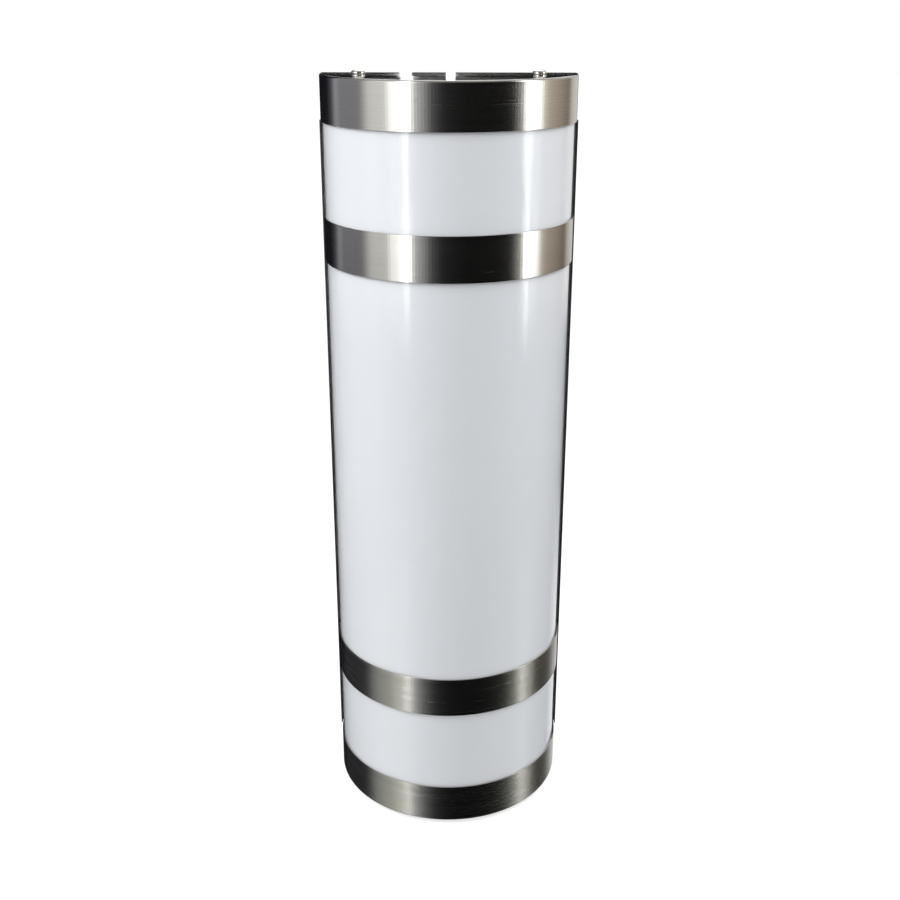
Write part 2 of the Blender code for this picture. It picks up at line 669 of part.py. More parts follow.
def make_ferrule(name, side, parent, place):
    """The metal cap at one end of a lamp, with its two pins."""
    skirt_end = LAMP_HALF - FERRULE_LENGTH
    inner_face = LAMP_HALF - FERRULE_FACE
    profile = [
        (0, inner_face), (FERRULE_INNER, inner_face), (FERRULE_INNER, skirt_end), (FERRULE_RADIUS, skirt_end),
        (FERRULE_RADIUS, LAMP_HALF), (0, LAMP_HALF),
    ]
    shape = flipped(turned(profile, LAMP_SEGMENTS), side)
    ferrule = add_piece(name, shape, bright_steel, parent, place)
    for x in (-PIN_SPACING / 2, PIN_SPACING / 2):
        pin = cylinder(PIN_RADIUS, inner_face + FERRULE_FACE / 2, LAMP_HALF + PIN_LENGTH, SMALL_SEGMENTS // 2)
        join(ferrule, flipped(moved(pin, x), side))


def make_lamps(root):
    """Both lamps on the axes that they turn about, and the holders they turn in."""
    for hand, x in (("left", -LAMP_SIDE), ("right", LAMP_SIDE)):
        place = (x, -LAMP_DEPTH, 0)
        lamp = add_empty(f"lamp_{hand}", place, root)
        glass_half = LAMP_HALF - FERRULE_FACE - CLEARANCE
        glass = ring(LAMP_RADIUS - LAMP_GLASS, LAMP_RADIUS, -glass_half, glass_half, LAMP_SEGMENTS)
        add_piece(f"lamp_tube_{hand}", glass, coated_glass, lamp, place)
        for level, side in (("upper", 1), ("lower", -1)):
            make_ferrule(f"lamp_ferrule_{level}_{hand}", side, lamp, place)
            make_rotor(f"lampholder_rotor_{level}_{hand}", side, lamp, place)
            make_holder(f"lampholder_{level}_{hand}", side, root, place)


def smooth_route(corners, step):
    """Points along a smooth curve through the corners, about a step apart."""
    ends = [2 * corners[0] - corners[1], *corners, 2 * corners[-1] - corners[-2]]
    points = []
    for before, start, end, after in zip(ends, ends[1:], ends[2:], ends[3:]):
        count = max(1, round((end - start).length / step))
        for index in range(count):
            t = index / count
            rise = (end - before) * t + (2 * before - 5 * start + 4 * end - after) * t**2
            points.append(start + (rise + (3 * start - before - 3 * end + after) * t**3) / 2)
    return [*points, corners[-1]]


def add_lead(name, corners, colour, parent):
    """An insulated lead along a route of (x, y, z) corners."""
    curve = bpy.data.curves.new(name, "CURVE")
    curve.dimensions = "3D"
    curve.bevel_depth = LEAD_RADIUS
    curve.bevel_resolution = 2
    curve.use_fill_caps = True
    points = smooth_route([Vector(corner) for corner in corners], LEAD_STEP)
    spline = curve.splines.new("POLY")
    spline.points.add(len(points) - 1)
    for target, point in zip(spline.points, points):
        target.co = (*point, 1)
    curve.materials.append(make_material(name + "_finish", colour, 0.45))
    link(bpy.data.objects.new(name, curve), parent, (0, 0, 0))


def sag_between(start, end):
    """The place halfway between two places, lowered by the sag."""
    x, y, z = ((first + last) / 2 for first, last in zip(start, end))
    return x, y, z - LEAD_SAG


def make_supply_leads(parent):
    """The leads from the terminal block and the earth lug to the ballast's upper end."""
    block_end = BLOCK_CENTRE - BLOCK_LENGTH / 2 - CLEARANCE
    block_depth = PAN_FRONT + BLOCK_DEPTH / 2
    ballast_end = BALLAST_TOP + CLEARANCE
    lug_end = EARTH_HEIGHT - LUG_RADIUS - LUG_TAIL - CLEARANCE
    lug_depth = PAN_FRONT + LEAD_RADIUS
    line_start = (BLOCK_SIDE + LEAD_SPREAD, -block_depth, block_end)
    neutral_start = (BLOCK_SIDE - LEAD_SPREAD, -block_depth, block_end)
    earth_start = (EARTH_SIDE, -lug_depth, lug_end)
    for name, start, lift, exit_side, colour in (
        ("line_lead", line_start, 0.0, 2 * LEAD_PITCH, (0.02, 0.02, 0.02)),
        ("neutral_lead", neutral_start, 0.0, LEAD_PITCH, (0.85, 0.85, 0.83)),
        ("earth_lead", earth_start, LEAD_RADIUS, -2 * LEAD_PITCH, (0.03, 0.30, 0.08)),
    ):
        end = (exit_side, -LEAD_DEPTH, ballast_end)
        add_lead(name, [
            start,
            (start[0], start[1] - lift, start[2] - LEAD_STRAIGHT),
            sag_between(start, end),
            (exit_side, -LEAD_DEPTH, ballast_end + LEAD_STRAIGHT),
            end,
        ], colour, parent)


def make_lamp_leads(parent):
    """One lead from the ballast to each lampholder's rear edge."""
    holder_level = (HOLDER_FACE + HOLDER_END) / 2
    holder_rear = HOLDER_REAR - CLEARANCE
    lay_depth = PAN_FRONT + LEAD_RADIUS + LEAD_LIFT
    front_depth = LEAD_DEPTH + LEAD_SAG
    for hand, side, exit_side, colour in (
        ("left", -1, -LEAD_PITCH, (0.70, 0.07, 0.05)),
        ("right", 1, 0.0, (0.08, 0.17, 0.60)),
    ):
        out = side * LAMP_SIDE
        add_lead(f"lamp_lead_upper_{hand}", [
            (exit_side, -front_depth, BALLAST_TOP + CLEARANCE),
            (exit_side, -front_depth, BALLAST_TOP + LEAD_STRAIGHT),
            (exit_side, -LEAD_DEPTH, WIRE_HOLE_HEIGHT + LEAD_PASS),
            (exit_side, -LEAD_DEPTH, BLOCK_CENTRE + BLOCK_LENGTH),
            (side * BALLAST_WIDTH / 2, -lay_depth, LAMP_HALF - LEAD_FAN),
            (out - side * LEAD_SPREAD, -lay_depth, LAMP_HALF - LEAD_STRAIGHT),
            (out, -holder_rear + LEAD_STRAIGHT, holder_level),
            (out, -holder_rear, holder_level),
        ], colour, parent)
        low_side = 1.5 * side * LEAD_PITCH
        add_lead(f"lamp_lead_lower_{hand}", [
            (low_side, -LEAD_DEPTH, BALLAST_BOTTOM - CLEARANCE),
            (low_side, -LEAD_DEPTH, BALLAST_BOTTOM - LEAD_STRAIGHT),
            sag_between((low_side, -LEAD_DEPTH, BALLAST_BOTTOM), (out, -LEAD_DEPTH, -holder_level)),
            (out, -holder_rear + LEAD_STRAIGHT, -holder_level),
            (out, -holder_rear, -holder_level),
        ], colour, parent)


def main():
    clear_scene()
    pan_body = add_empty("pan_body", (0, 0, 0))
    cover_body = add_empty("cover_body", (0, 0, 0), pan_body)
    make_back_pan(pan_body)
    make_cover_screws(pan_body)
    make_stud_nuts(pan_body)
    make_wireway_cover(pan_body)
    make_ballast(pan_body)
    make_terminal_block(pan_body)
    make_earth_lug(pan_body)
    make_grommet(pan_body)
    make_brackets(pan_body)
    make_supply_leads(pan_body)
    make_lamp_leads(pan_body)
    make_lamps(pan_body)
    make_cover(cover_body)


main()
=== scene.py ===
"""The looks of a half-round wall light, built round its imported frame.

Frame: metres, +Z up. The wall is the plane y = 0, the light stands out from it towards -Y, and the
origin is the centre of the pan's rear face. Left is -X, as seen by someone facing the light.
"""

import json
import logging
import math
from collections.abc import Callable, Iterator, Sequence
from contextlib import contextmanager
from dataclasses import dataclass
from enum import Enum

import bmesh
import bpy
from mathutils import Matrix, Vector


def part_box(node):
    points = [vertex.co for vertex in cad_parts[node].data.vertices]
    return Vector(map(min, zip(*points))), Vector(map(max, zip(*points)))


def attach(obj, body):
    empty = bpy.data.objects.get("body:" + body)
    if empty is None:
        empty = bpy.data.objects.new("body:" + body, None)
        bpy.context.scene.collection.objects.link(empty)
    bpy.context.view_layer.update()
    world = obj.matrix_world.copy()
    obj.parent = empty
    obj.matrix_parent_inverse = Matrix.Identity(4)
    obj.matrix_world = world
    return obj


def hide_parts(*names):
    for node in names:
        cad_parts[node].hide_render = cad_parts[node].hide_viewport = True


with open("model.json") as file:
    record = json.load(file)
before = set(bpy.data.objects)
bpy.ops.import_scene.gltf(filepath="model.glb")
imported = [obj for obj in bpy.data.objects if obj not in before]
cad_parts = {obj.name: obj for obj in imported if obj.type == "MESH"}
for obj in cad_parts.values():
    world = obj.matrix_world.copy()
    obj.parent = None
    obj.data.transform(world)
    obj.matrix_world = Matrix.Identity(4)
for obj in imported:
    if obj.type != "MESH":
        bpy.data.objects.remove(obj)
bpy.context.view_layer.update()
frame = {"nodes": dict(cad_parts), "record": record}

log = logging.getLogger("wall_light")

Colour = tuple[float, float, float]
Point = tuple[float, float, float]
Profile = Sequence[tuple[float, float]]
Stops = Sequence[tuple[float, Colour]]

# Sizes that more than one sub-assembly uses, in metres.
HALF_WIDTH = 0.0825  # over the pan's lips
HALF_HEIGHT = 0.254  # over the end plates
CENTRE_DEPTH = 0.0036  # from the wall to the half rounds' centre line
PAN_FRONT = 0.0011  # from the wall to the rear edges of the bands
PAN_HALF = 0.2527  # half the pan's height
CLEARANCE = 0.0003  # between the end plate and a screw's head
SCREW_SIDE = 0.056  # from the middle to each cover screw's axis
SCREW_DEPTH = 0.018  # from the wall to each cover screw's axis
THREAD_PITCH = 0.0007
LAMP_SIDE = 0.0373952  # from the middle to each lamp's axis
LAMP_DEPTH = 0.042  # from the wall to each lamp's axis
LAMP_HALF = 0.2187  # half a lamp's length over its caps
PLATE_FRONT = 0.0019  # the front of the thin plates that lie on the pan
NEAR = 2e-5  # two places closer than this are one
DOUBLED = 1e-6  # two points closer than this are merged


class Pick(Enum):
    """What an edit works on."""

    VERTS = "VERT"
    EDGES = "EDGE"
    FACES = "FACE"


class Level(Enum):
    """The upper or the lower end of the light."""

    UPPER = 1
    LOWER = -1

    @property
    def word(self) -> str:
        """The level as it stands in a piece's name."""
        return self.name.lower()


class Hand(Enum):
    """The left or the right side of the light."""

    LEFT = -1
    RIGHT = 1

    @property
    def word(self) -> str:
        """The side as it stands in a piece's name."""
        return self.name.lower()


# ---------------------------------------------------------------- bench


def deselect_all() -> None:
    """Leaves object mode with nothing selected."""
    if bpy.context.mode != "OBJECT":
        bpy.ops.object.mode_set(mode="OBJECT")
    bpy.ops.object.select_all(action="DESELECT")


def pick_only(piece: bpy.types.Object) -> None:
    """Makes one object the only selected one, and the active one.

    Args:
        piece: The object.
    """
    deselect_all()
    piece.select_set(True)
    bpy.context.view_layer.objects.active = piece


@contextmanager
def editing(piece: bpy.types.Object, kind: Pick) -> Iterator[None]:
    """Opens a piece in edit mode for a while.

    Args:
        piece: The object to edit.
        kind: Whether vertices, edges or faces are worked on.

    Returns:
        A context in which the piece is in edit mode.
    """
    pick_only(piece)
    bpy.ops.object.mode_set(mode="EDIT")
    bpy.ops.mesh.select_mode(type=kind.value)
    yield
    bpy.ops.object.mode_set(mode="OBJECT")


def select_where(piece: bpy.types.Object, kind: Pick, test: Callable[..., bool]) -> None:
    """Selects the parts of the edited mesh that pass a test, and nothing else.

    Args:
        piece: The object, in edit mode.
        kind: Whether the test is given vertices, edges or faces.
        test: Says whether one of them is wanted.
    """
    shape = bmesh.from_edit_mesh(piece.data)
    for part in (*shape.verts, *shape.edges, *shape.faces):
        part.select_set(False)
    kinds = {Pick.VERTS: shape.verts, Pick.EDGES: shape.edges, Pick.FACES: shape.faces}
    for part in [part for part in kinds[kind] if test(part)]:
        part.select_set(True)
    shape.select_flush_mode()
    bmesh.update_edit_mesh(piece.data)


def all_near(part: bmesh.types.BMEdge, axis: int, value: float) -> bool:
    """Says whether each corner of an edge or a face lies on a plane across an axis."""
    return all(abs(corner.co[axis] - value) < NEAR for corner in part.verts)


def slide_out(offset: Point) -> None:
    """Extrudes what is selected by an offset."""
    bpy.ops.mesh.extrude_region_move(TRANSFORM_OT_translate={"value": offset})


def name_new(name: str) -> bpy.types.Object:
    """Names the object that was just added or copied.

    Args:
        name: The object's name, and its mesh's.

    Returns:
        The object.
    """
    made = bpy.context.view_layer.objects.active
    made.name = made.data.name = name
    return made


def place_in_mesh(piece: bpy.types.Object) -> None:
    """Moves an object's place into its mesh, so that it sits at the origin."""
    pick_only(piece)
    bpy.ops.object.transform_apply(location=True, rotation=True, scale=True)


def modify(piece: bpy.types.Object, kind: str, **settings: object) -> None:
    """Adds a modifier with its settings and applies it.

    Args:
        piece: The piece.
        kind: The modifier's type.
        **settings: Its settings.
    """
    pick_only(piece)
    modifier = piece.modifiers.new(kind.lower(), kind)
    for name, value in settings.items():
        setattr(modifier, name, value)
    bpy.ops.object.modifier_apply(modifier=modifier.name)


def soften(piece: bpy.types.Object, width: float, segments: int = 2, angle: float = 35.0) -> None:
    """Rounds a piece's sharp edges."""
    limit = {"limit_method": "ANGLE", "angle_limit": math.radians(angle)}
    modify(piece, "BEVEL", width=width, segments=segments, harden_normals=True, **limit)


def cut_away(piece: bpy.types.Object, cutter: bpy.types.Object) -> None:
    """Cuts one closed shape out of another, and deletes the cutter."""
    modify(piece, "BOOLEAN", operation="DIFFERENCE", solver="EXACT", object=cutter)
    bpy.data.objects.remove(cutter, do_unlink=True)


def weld(piece: bpy.types.Object, other: bpy.types.Object) -> None:
    """Unites a closed shape with a piece, and deletes what is left of it."""
    modify(piece, "BOOLEAN", operation="UNION", solver="EXACT", object=other)
    bpy.data.objects.remove(other, do_unlink=True)


def round_edges(
    piece: bpy.types.Object, radius: float, segments: int, test: Callable[..., bool]) -> None:
    """Rounds the edges that pass a test.

    Args:
        piece: The piece.
        radius: How far each rounding reaches from its edge.
        segments: How many faces make the rounding.
        test: Says whether an edge is rounded.
    """
    with editing(piece, Pick.EDGES):
        select_where(piece, Pick.EDGES, test)
        bpy.ops.mesh.bevel(offset=radius, segments=segments, profile=0.5, affect="EDGES")


def merge_in(piece: bpy.types.Object, others: Sequence[bpy.types.Object]) -> None:
    """Joins other objects' meshes to a piece as loose shells.

    Args:
        piece: The piece that keeps its name.
        others: The objects that are joined to it.
    """
    pick_only(piece)
    for other in others:
        other.select_set(True)
    bpy.ops.object.join()


def face_outwards(piece: bpy.types.Object) -> None:
    """Merges doubled points and turns every face outwards.

    Args:
        piece: The piece.
    """
    with editing(piece, Pick.VERTS):
        bpy.ops.mesh.select_all(action="SELECT")
        bpy.ops.mesh.remove_doubles(threshold=DOUBLED)
        bpy.ops.mesh.normals_make_consistent(inside=False)


def turn_over(piece: bpy.types.Object) -> None:
    """Turns every face of an open shell the other way.

    Args:
        piece: The shell.
    """
    with editing(piece, Pick.FACES):
        bpy.ops.mesh.select_all(action="SELECT")
        bpy.ops.mesh.flip_normals()


def smooth(piece: bpy.types.Object, angle: float = 35.0) -> None:
    """Shades a piece smooth, except over sharp edges."""
    pick_only(piece)
    bpy.ops.object.shade_smooth_by_angle(angle=math.radians(angle))


def copy_piece(original: bpy.types.Object, name: str, turn: Matrix) -> bpy.types.Object:
    """Copies a piece with a mesh of its own and sets it elsewhere.

    Args:
        original: The finished piece.
        name: The copy's name.
        turn: Where the copy goes, from where the original is.

    Returns:
        The copy, with its place in its mesh.
    """
    pick_only(original)
    bpy.ops.object.duplicate(linked=False)
    made = name_new(name)
    made.matrix_world = turn
    place_in_mesh(made)
    return made


def add_cylinder(
    name: str, radius: float, low: float, high: float, sides: int, ends: str = "NGON",
    centre: tuple[float, float] = (0.0, 0.0)) -> bpy.types.Object:
    """Adds a cylinder up Z as the start of a piece.

    Args:
        name: The object's name.
        radius: Its radius.
        low: Its lower end.
        high: Its upper end.
        sides: How many sides it has.
        ends: How its ends are filled.
        centre: The (x, y) of its axis.

    Returns:
        The object.
    """
    deselect_all()
    bpy.ops.mesh.primitive_cylinder_add(
        vertices=sides, radius=radius, depth=high - low, end_fill_type=ends,
        location=(*centre, (low + high) / 2))
    made = name_new(name)
    place_in_mesh(made)
    return made


def aim_front(piece: bpy.types.Object, place: Point) -> None:
    """Turns a piece drawn up Z from the origin so that it rises towards -Y from a place."""
    piece.matrix_world = Matrix.Translation(place) @ Matrix.Rotation(math.pi / 2, 4, "X")
    place_in_mesh(piece)


def add_peg(
    name: str, radius: float, place: tuple[float, float], rear: float, front: float,
    sides: int) -> bpy.types.Object:
    """Adds a cylinder that runs towards the front, as the start of a piece or as a drill.

    Args:
        name: The object's name.
        radius: Its radius.
        place: The (x, z) of its axis.
        rear: How far its rear end is from the wall.
        front: How far its front end is from the wall.
        sides: How many sides it has.

    Returns:
        The object.
    """
    made = add_cylinder(name, radius, rear, front, sides)
    aim_front(made, (place[0], 0.0, place[1]))
    return made


def thread_profile(crest: float, root: float, low: float, high: float) -> list[tuple[float, float]]:
    """Draws the half section of a threaded rod.

    Args:
        crest: The thread's outer radius.
        root: Its inner radius.
        low: Where it starts.
        high: Where it ends.

    Returns:
        The (radius, z) points from its start to its end.
    """
    points = [(root, low)]
    level = low + THREAD_PITCH / 2
    while level < high - THREAD_PITCH / 2:
        points += [(crest, level), (root, level + THREAD_PITCH / 2)]
        level += THREAD_PITCH
    return [*points, (root, high)]


def quartered(
    first: bpy.types.Object, kind: str) -> list[tuple[tuple[Level, Hand], bpy.types.Object]]:
    """Sets copies of an upper right piece at the light's other three lamp ends.

    Args:
        first: The upper right piece.
        kind: The word that the copies' names start with.

    Returns:
        Each end with its piece.
    """
    across = Matrix.Translation((-2 * LAMP_SIDE, 0, 0))
    over = Matrix.Rotation(math.pi, 4, "Y")
    turns = {(Level.UPPER, Hand.LEFT): across, (Level.LOWER, Hand.LEFT): over,
             (Level.LOWER, Hand.RIGHT): over @ across}
    made = [((Level.UPPER, Hand.RIGHT), first)]
    for (level, hand), turn in turns.items():
        made.append(((level, hand), copy_piece(first, f"{kind}_{level.word}_{hand.word}", turn)))
    return made


def add_box(name: str, low: Point, high: Point) -> bpy.types.Object:
    """Adds a box as the start of a piece, or as a cutter.

    Args:
        name: The object's name.
        low: Its lowest corner.
        high: Its highest corner.

    Returns:
        The object.
    """
    deselect_all()
    middle = [(first + last) / 2 for first, last in zip(low, high)]
    bpy.ops.mesh.primitive_cube_add(size=1.0, location=middle)
    made = name_new(name)
    made.scale = [last - first for first, last in zip(low, high)]
    place_in_mesh(made)
    return made


def add_chain(name: str, points: Sequence[Point]) -> bpy.types.Object:
    """Draws a chain of edges by extruding one point from place to place.

    Args:
        name: The object's name.
        points: The chain's points in order.

    Returns:
        The object.
    """
    deselect_all()
    bpy.ops.mesh.primitive_plane_add(size=0.001, location=points[0])
    made = name_new(name)
    place_in_mesh(made)
    with editing(made, Pick.VERTS):
        bpy.ops.mesh.select_all(action="SELECT")
        bpy.ops.mesh.merge(type="CENTER")
        for start, end in zip(points, points[1:]):
            slide_out(tuple(Vector(end) - Vector(start)))
    return made


def add_turned(
    name: str, profile: Profile, sides: int, centre: Point = (0.0, 0.0, 0.0)) -> bpy.types.Object:
    """Spins a profile round an axis up Z.

    Args:
        name: The object's name.
        profile: (radius, z) points; it starts and ends on the axis, or is closed.
        sides: How many sides the turned shape has.
        centre: Where the profile's origin is.

    Returns:
        The object, with its faces outwards.
    """
    x, y, z = centre
    made = add_chain(name, [(x + radius, y, z + height) for radius, height in profile])
    with editing(made, Pick.VERTS):
        bpy.ops.mesh.select_all(action="SELECT")
        bpy.ops.mesh.spin(steps=sides, angle=2 * math.pi, center=centre, axis=(0, 0, 1))
    face_outwards(made)
    return made


def add_folded(
    name: str, fold: Profile, low: float, high: float, sheet: float,
    bend: float) -> bpy.types.Object:
    """Folds sheet metal: a chain of (x, y) points drawn up Z, with round bends.

    Args:
        name: The object's name.
        fold: The outer face of the sheet, in order.
        low: The lower end.
        high: The upper end.
        sheet: The sheet's thickness, which goes to the inner side.
        bend: The outer radius of each bend.

    Returns:
        The object.
    """
    made = add_chain(name, [(x, y, low) for x, y in fold])
    with editing(made, Pick.EDGES):
        bpy.ops.mesh.select_all(action="SELECT")
        slide_out((0, 0, high - low))
    ends = {fold[0], fold[-1]}

    def is_bend(edge: bmesh.types.BMEdge) -> bool:
        """Says whether an edge is one of the bends.

        Args:
            edge: An edge of the unbent sheet.

        Returns:
            Whether it is upright and not at either end of the fold.
        """
        first, last = (corner.co for corner in edge.verts)
        upright = abs(first.z - last.z) > NEAR
        return upright and all(math.dist(first.xy, end) > NEAR for end in ends)

    round_edges(made, bend, 5, is_bend)
    (first_x, first_y), (last_x, last_y) = fold[0], fold[-1]
    middle = Vector(((first_x + last_x) / 2, (first_y + last_y) / 2, (low + high) / 2))
    outward = sum(face.area * face.normal.dot(face.center - middle) for face in made.data.polygons)
    if outward < 0:
        turn_over(made)
    modify(made, "SOLIDIFY", thickness=sheet, offset=-1.0, use_even_offset=True)
    return made


# ---------------------------------------------------------------- finishes


class Wiring:
    """Fills a node tree, node by node."""

    def __init__(self, tree: bpy.types.NodeTree) -> None:
        """Keeps the tree that is filled."""
        self.tree = tree

    def add(self, kind: str, inputs: dict | None = None, **settings: object) -> bpy.types.Node:
        """Adds a node.

        Args:
            kind: The node's type.
            inputs: What each input takes, by name or number: a socket or a value.
            **settings: The node's own settings.

        Returns:
            The node.
        """
        node = self.tree.nodes.new(kind)
        for name, value in settings.items():
            setattr(node, name, value)
        for key, value in (inputs or {}).items():
            if isinstance(value, bpy.types.NodeSocket):
                self.link(value, node.inputs[key])
            else:
                node.inputs[key].default_value = value
        return node

    def link(self, source: bpy.types.NodeSocket, target: bpy.types.NodeSocket) -> None:
        """Wires one socket to another."""
        self.tree.links.new(source, target)

    def show(self, shader: bpy.types.Node) -> None:
        """Wires a shader to the material's surface."""
        self.link(shader.outputs[0], self.tree.nodes["Material Output"].inputs["Surface"])

    def maths(self, operation: str, *values: object, clamp: bool = False) -> bpy.types.NodeSocket:
        """Adds a sum of numbers and returns its result."""
        settings = {"operation": operation, "use_clamp": clamp}
        return self.add("ShaderNodeMath", dict(enumerate(values)), **settings).outputs[0]

    def blended(self, first: object, second: object, share: float) -> bpy.types.NodeSocket:
        """Adds two masks, the first by a share and the second by the rest."""
        rest = self.maths("MULTIPLY", second, 1 - share)
        return self.maths("ADD", self.maths("MULTIPLY", first, share), rest)

    def scaled(self, vector: bpy.types.NodeSocket, factors: object) -> bpy.types.NodeSocket:
        """Multiplies a vector by factors, axis by axis."""
        inputs = {0: vector, 1: factors}
        return self.add("ShaderNodeVectorMath", inputs, operation="MULTIPLY").outputs[0]

    def noise(
        self, vector: bpy.types.NodeSocket, scale: object, detail: float = 2.0,
        rough: float = 0.5) -> bpy.types.NodeSocket:
        """Adds a noise and returns its value."""
        inputs = {"Vector": vector, "Scale": scale, "Detail": detail, "Roughness": rough}
        return self.add("ShaderNodeTexNoise", inputs).outputs["Fac"]

    def spread(
        self, value: bpy.types.NodeSocket, low: object, high: object, new_low: object = 0.0,
        new_high: object = 1.0) -> bpy.types.NodeSocket:
        """Maps one span of values to another, clamped."""
        inputs = {0: value, 1: low, 2: high, 3: new_low, 4: new_high}
        return self.add("ShaderNodeMapRange", inputs).outputs[0]

    def mixed(self, factor: object, first: object, second: object) -> bpy.types.NodeSocket:
        """Mixes two colours."""
        inputs = {0: factor, 6: first, 7: second}
        return self.add("ShaderNodeMix", inputs, data_type="RGBA").outputs[2]


def new_group(
    name: str, inputs: dict[str, tuple[str, object]],
    outputs: dict[str, str]) -> tuple[Wiring, bpy.types.Node, bpy.types.Node]:
    """Starts a shader node group.

    Args:
        name: The group's name.
        inputs: Each input's kind and default value.
        outputs: Each output's kind.

    Returns:
        Its wiring, its input node and its output node.
    """
    tree = bpy.data.node_groups.new(name, "ShaderNodeTree")
    for label, (kind, value) in inputs.items():
        socket = tree.interface.new_socket(
            label, in_out="INPUT", socket_type="NodeSocket" + kind)
        if value is not None:
            socket.default_value = value
    for label, kind in outputs.items():
        tree.interface.new_socket(label, in_out="OUTPUT", socket_type="NodeSocket" + kind)
    wiring = Wiring(tree)
    return wiring, wiring.add("NodeGroupInput"), wiring.add("NodeGroupOutput")


def make_strokes_group() -> bpy.types.NodeTree:
    """Brush strokes that run along X and Y and lie side by side along Z.

    Returns:
        The group.
    """
    wiring, given, out = new_group(
        "brush_strokes",
        {"Vector": ("Vector", None), "Along": ("Float", 14.0), "Across": ("Float", 1400.0)},
        {"Strokes": "Float", "Drift": "Float"})
    vector, along, across = given.outputs[:3]
    stretch = wiring.add("ShaderNodeCombineXYZ", {0: along, 1: along, 2: across})
    stroked = wiring.scaled(vector, stretch.outputs[0])
    fine = wiring.noise(stroked, 1.0, 3.0, 0.65)
    coarse = wiring.noise(stroked, 0.22, 2.0)
    strokes = wiring.blended(fine, coarse, 0.65)
    wiring.link(wiring.spread(strokes, 0.3, 0.7), out.inputs["Strokes"])
    wiring.link(wiring.noise(vector, 9.0, 2.0), out.inputs["Drift"])
    return wiring.tree


def make_edge_group() -> bpy.types.NodeTree:
    """A mask of the edges, broken up as real rubbing is.

    Returns:
        The group.
    """
    wiring, given, out = new_group(
        "edge_rub", {"Vector": ("Vector", None), "Radius": ("Float", 0.0005)}, {"Mask": "Float"})
    vector, radius = given.outputs[:2]
    rounded = wiring.add("ShaderNodeBevel", {"Radius": radius}, samples=6)
    flat = wiring.add("ShaderNodeNewGeometry")
    inputs = {0: rounded.outputs[0], 1: flat.outputs["Normal"]}
    dot = wiring.add("ShaderNodeVectorMath", inputs, operation="DOT_PRODUCT").outputs["Value"]
    edge = wiring.spread(dot, 0.995, 0.90)
    breakup = wiring.spread(wiring.noise(vector, 260.0, 3.0), 0.35, 0.65, 0.35, 1.0)
    wiring.link(wiring.maths("MULTIPLY", edge, breakup), out.inputs["Mask"])
    return wiring.tree


def make_dust_group() -> bpy.types.NodeTree:
    """A mask of the fine dust that settles on upward faces.

    Returns:
        The group.
    """
    wiring, given, out = new_group(
        "settled_dust", {"Vector": ("Vector", None), "Amount": ("Float", 0.3)}, {"Mask": "Float"})
    vector, amount = given.outputs[:2]
    flat = wiring.add("ShaderNodeNewGeometry")
    up = wiring.add("ShaderNodeSeparateXYZ", {0: flat.outputs["Normal"]}).outputs["Z"]
    facing = wiring.spread(up, 0.2, 0.9)
    cloud = wiring.spread(wiring.noise(vector, 55.0, 4.0, 0.6), 0.35, 0.75)
    specks = wiring.spread(wiring.noise(vector, 1500.0, 1.0), 0.6, 0.75)
    film = wiring.maths("MULTIPLY", facing, wiring.maths("ADD", cloud, specks, clamp=True))
    wiring.link(wiring.maths("MULTIPLY", film, amount), out.inputs["Mask"])
    return wiring.tree


def make_skin_group() -> bpy.types.NodeTree:
    """The fine skin of paint, plastic and rubber: a tone and a height.

    Returns:
        The group.
    """
    wiring, given, out = new_group(
        "fine_skin",
        {"Vector": ("Vector", None), "Grain": ("Float", 900.0), "Patches": ("Float", 25.0)},
        {"Tone": "Float", "Height": "Float"})
    vector, fine, coarse = given.outputs[:3]
    grain = wiring.noise(vector, fine, 2.0, 0.6)
    patches = wiring.noise(vector, coarse, 3.0, 0.55)
    wiring.link(wiring.spread(wiring.blended(grain, patches, 0.4), 0.3, 0.7), out.inputs["Tone"])
    wiring.link(grain, out.inputs["Height"])
    return wiring.tree


class Effects:
    """The node groups that several finishes share."""

    def __init__(self) -> None:
        """Makes each group once."""
        self.strokes = make_strokes_group()
        self.edges = make_edge_group()
        self.dust = make_dust_group()
        self.skin = make_skin_group()


def shade_of(colour: Colour, factor: float) -> tuple[float, float, float, float]:
    """A colour made lighter or darker, with its alpha."""
    return (*(min(1.0, part * factor) for part in colour), 1.0)


@dataclass(frozen=True)
class Finish:
    """What every finish has: its name, colour and gloss."""

    name: str
    colour: Colour
    roughness: float
    metallic: float = 0.0

    def start(self) -> tuple[bpy.types.Material, Wiring, bpy.types.Node, bpy.types.Node]:
        """Makes the material.

        Returns:
            The material, its wiring, its shader and its texture coordinates.
        """
        made = bpy.data.materials.new(self.name)
        made.use_nodes = True
        made.diffuse_color = (*self.colour, 1.0)
        wiring = Wiring(made.node_tree)
        shader = made.node_tree.nodes["Principled BSDF"]
        shader.inputs["Metallic"].default_value = self.metallic
        return made, wiring, shader, wiring.add("ShaderNodeTexCoord")

    def group(self, wiring: Wiring, tree: bpy.types.NodeTree, *inputs: object) -> bpy.types.Node:
        """Places a shared effect with this finish's own values."""
        return wiring.add("ShaderNodeGroup", dict(enumerate(inputs)), node_tree=tree)

    def varied(
        self, wiring: Wiring, mask: bpy.types.NodeSocket, variation: float) -> bpy.types.NodeSocket:
        """The colour, darker and lighter by a mask."""
        low, high = shade_of(self.colour, 1 - variation), shade_of(self.colour, 1 + variation)
        return wiring.mixed(mask, low, high)

    def bump(
        self, wiring: Wiring, shader: bpy.types.Node, height: bpy.types.NodeSocket,
        depth: float) -> None:
        """Gives the shader a bump of a real depth."""
        bump = wiring.add("ShaderNodeBump", {"Strength": 1.0, "Distance": depth, "Height": height})
        wiring.link(bump.outputs[0], shader.inputs["Normal"])


